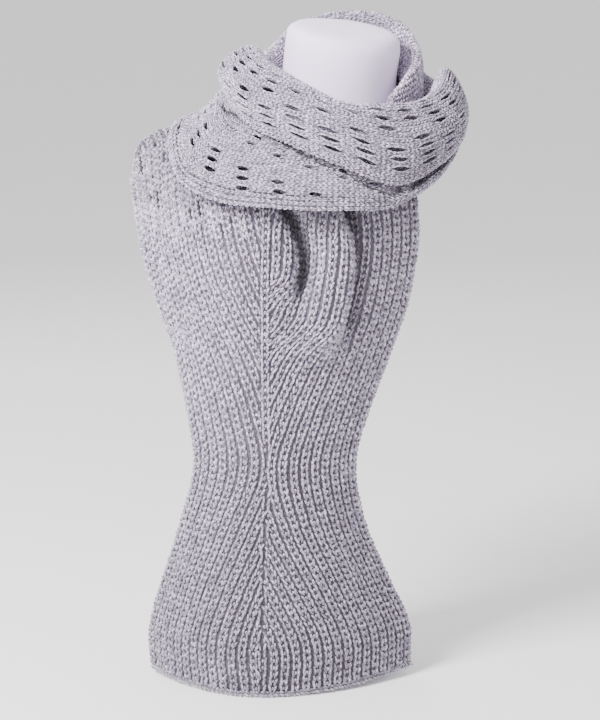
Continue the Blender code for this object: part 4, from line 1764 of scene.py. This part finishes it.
            # The low edge's chain gets painted shade under its roll; the inner edge's gets none.
            bank.chain(centre, along, unit(centre - beside), spacing, self.rim, crease=0.3 * (1 - share))

    def add_inside(self, bank: Stitches, turns: Array) -> None:
        """Stitches on the strip's inner side, where it stands open round the neck.

        Args:
            bank: Where the legs go.
            turns: Turn angle of each stitch.
        """
        for share in np.arange(0.03, 0.98, self.wale / self.inner_width):
            centre, along, outward, spacing = self.course(turns, share, -WALL)
            bank.chain(centre, along, -outward, spacing, self.plain, only=turns < self.upright_from)

    def add_upright(self, bank: Stitches, stretch: Stretch) -> None:
        """Columns that run up the strip on both its sides, where its end turns down beside the neck.

        Args:
            bank: Where the legs go.
            stretch: The stretch.
        """
        share = np.linspace(0.02, 0.985, 60)
        for turn in np.arange(self.upright_from + 1.0, stretch.end, self.upright_pitch):
            if turn < stretch.start + 0.5:
                continue
            row = turn / self.step
            for side, lift in ((1, 0.0), (-1, -WALL)):
                reach = reach_along(self.face.at(row, share * self.shares, lift)[0])
                at = np.interp(np.arange(self.stitch / 2, reach[-1], self.stitch), reach, share)
                centre, outward = self.face.at(row, at * self.shares, lift)
                # A shade value below 0 paints these columns paler: painted light on the end turned down
                # beside the neck.
                bank.chain(centre, way_along(centre), outward * side, self.stitch, self.plain, crease=-0.22)

    def build(self, wool: Wool, shade_wool: Wool, leg: Leg) -> list[list[bpy.types.Object]]:
        """Build and dress every stretch.

        Args:
            wool: The yarn.
            shade_wool: The darker yarn of the shells, as painted shade between the stitches.
            leg: The leg of its stitches.

        Returns:
            For each stretch its shell, then its stitches.
        """
        yarn, shade_yarn = wool.material(), shade_wool.material()
        groups = []
        for number, stretch in enumerate(STRETCHES):
            cloth = dress(self.build_cloth(stretch, shade_yarn, yarn), None)
            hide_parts(stretch.name)
            knit = self.build_stitches(stretch, number).lay(stretch.name + "_stitches", leg)
            groups.append([cloth, dress(knit, yarn)])
        return groups


@dataclass
class Studio:
    """The camera, the soft lights and the paper.

    Attributes:
        distance: From the lens to the point it looks at.
        elevation: How far the lens looks down.
        look_at: Height of that point.
        lens: Focal length in millimetres.
        sensor: Height of the sensor in millimetres.
        aim: Height that the lights face.
        white: Strength of the even white all round.
        paper: Side of the paper.
    """

    distance: float = 2.6
    elevation: float = math.radians(11)
    look_at: float = 0.311
    lens: float = 130.0
    sensor: float = 36.0
    aim: float = 0.35
    white: float = 1.10
    paper: float = 60.0

    def build_camera(self) -> None:
        """Add the camera at the photograph's angle."""
        data = bpy.data.cameras.new("front_camera")
        data.lens = self.lens
        data.sensor_fit = "VERTICAL"
        data.sensor_height = self.sensor
        data.clip_start = 0.05
        camera = bpy.data.objects.new("front_camera", data)
        bpy.context.scene.collection.objects.link(camera)
        back, up = math.cos(self.elevation), math.sin(self.elevation)
        camera.location = (0, -self.distance * back, self.look_at + self.distance * up)
        camera.rotation_euler = (math.pi / 2 - self.elevation, 0, 0)
        bpy.context.scene.camera = camera

    def build_light(self, name: str, place: tuple[float, float, float], size: float, power: float) -> None:
        """Add a square soft light that faces the scarf.

        Args:
            name: Its name.
            place: Where it stands.
            size: Its side.
            power: Its power in watts.
        """
        data = bpy.data.lights.new(name, "AREA")
        data.shape = "SQUARE"
        data.size = size
        data.energy = power
        light = bpy.data.objects.new(name, data)
        bpy.context.scene.collection.objects.link(light)
        light.location = place
        light.rotation_euler = (Vector((0, 0, self.aim)) - Vector(place)).to_track_quat("-Z", "Y").to_euler()

    def build_world(self) -> None:
        """Surround the scene with even white."""
        world = bpy.data.worlds.new("studio_white")
        bpy.context.scene.world = world
        world.use_nodes = True
        graph = Graph(world.node_tree)
        white = graph.node("ShaderNodeBackground", {}, {"Color": grey(1.0), "Strength": self.white})
        graph.node("ShaderNodeOutputWorld", {}, {"Surface": graph.out(white)})

    def build_paper(self) -> None:
        """Lay the white paper under the bust."""
        deselect()
        bpy.ops.mesh.primitive_grid_add(x_subdivisions=12, y_subdivisions=12, size=self.paper)
        paper = active("studio_paper")
        paper.data.materials.append(Paper().material())

    def build(self) -> None:
        """Build the whole studio."""
        self.build_world()
        self.build_camera()
        self.build_light("key_light", (-1.1, -1.1, 1.6), 0.7, 100.0)
        self.build_light("rim_light", (-0.6, 1.6, 1.5), 1.0, 14.0)
        self.build_paper()


def main() -> None:
    """Build the bust, the scarf and the studio, and report each piece."""
    logging.basicConfig(level=logging.INFO, format="%(name)s: %(message)s")
    bust = Bust()
    form = bust.dress(bust.build())
    LOG.info("%s: %d faces", form.name, len(form.data.polygons))
    wool = Wool("heathered_wool")
    # Darker copies of the yarn for the shells under the stitches: painted shade in the grooves and between
    # the stitches.
    groove = Wool("heathered_wool_in_grooves", light=0.20, middle=0.14, dark=0.08, sheen=0.03)
    shade_wool = Wool("heathered_wool_ground", light=0.36, middle=0.25, dark=0.12, sheen=0.05)
    leg, wrap_leg, back_leg = Leg(5, 4), Leg(4, 4), Leg(4, 3)
    tail = Tail().build(wool, groove, leg, back_leg)
    groups = Wrap().build(wool, shade_wool, wrap_leg)
    for stretch, pieces in zip(STRETCHES, groups):
        LOG.info("%s: %d faces of cloth", stretch.name, len(pieces[0].data.polygons))
    Studio().build()


if __name__ == "__main__":
    main()
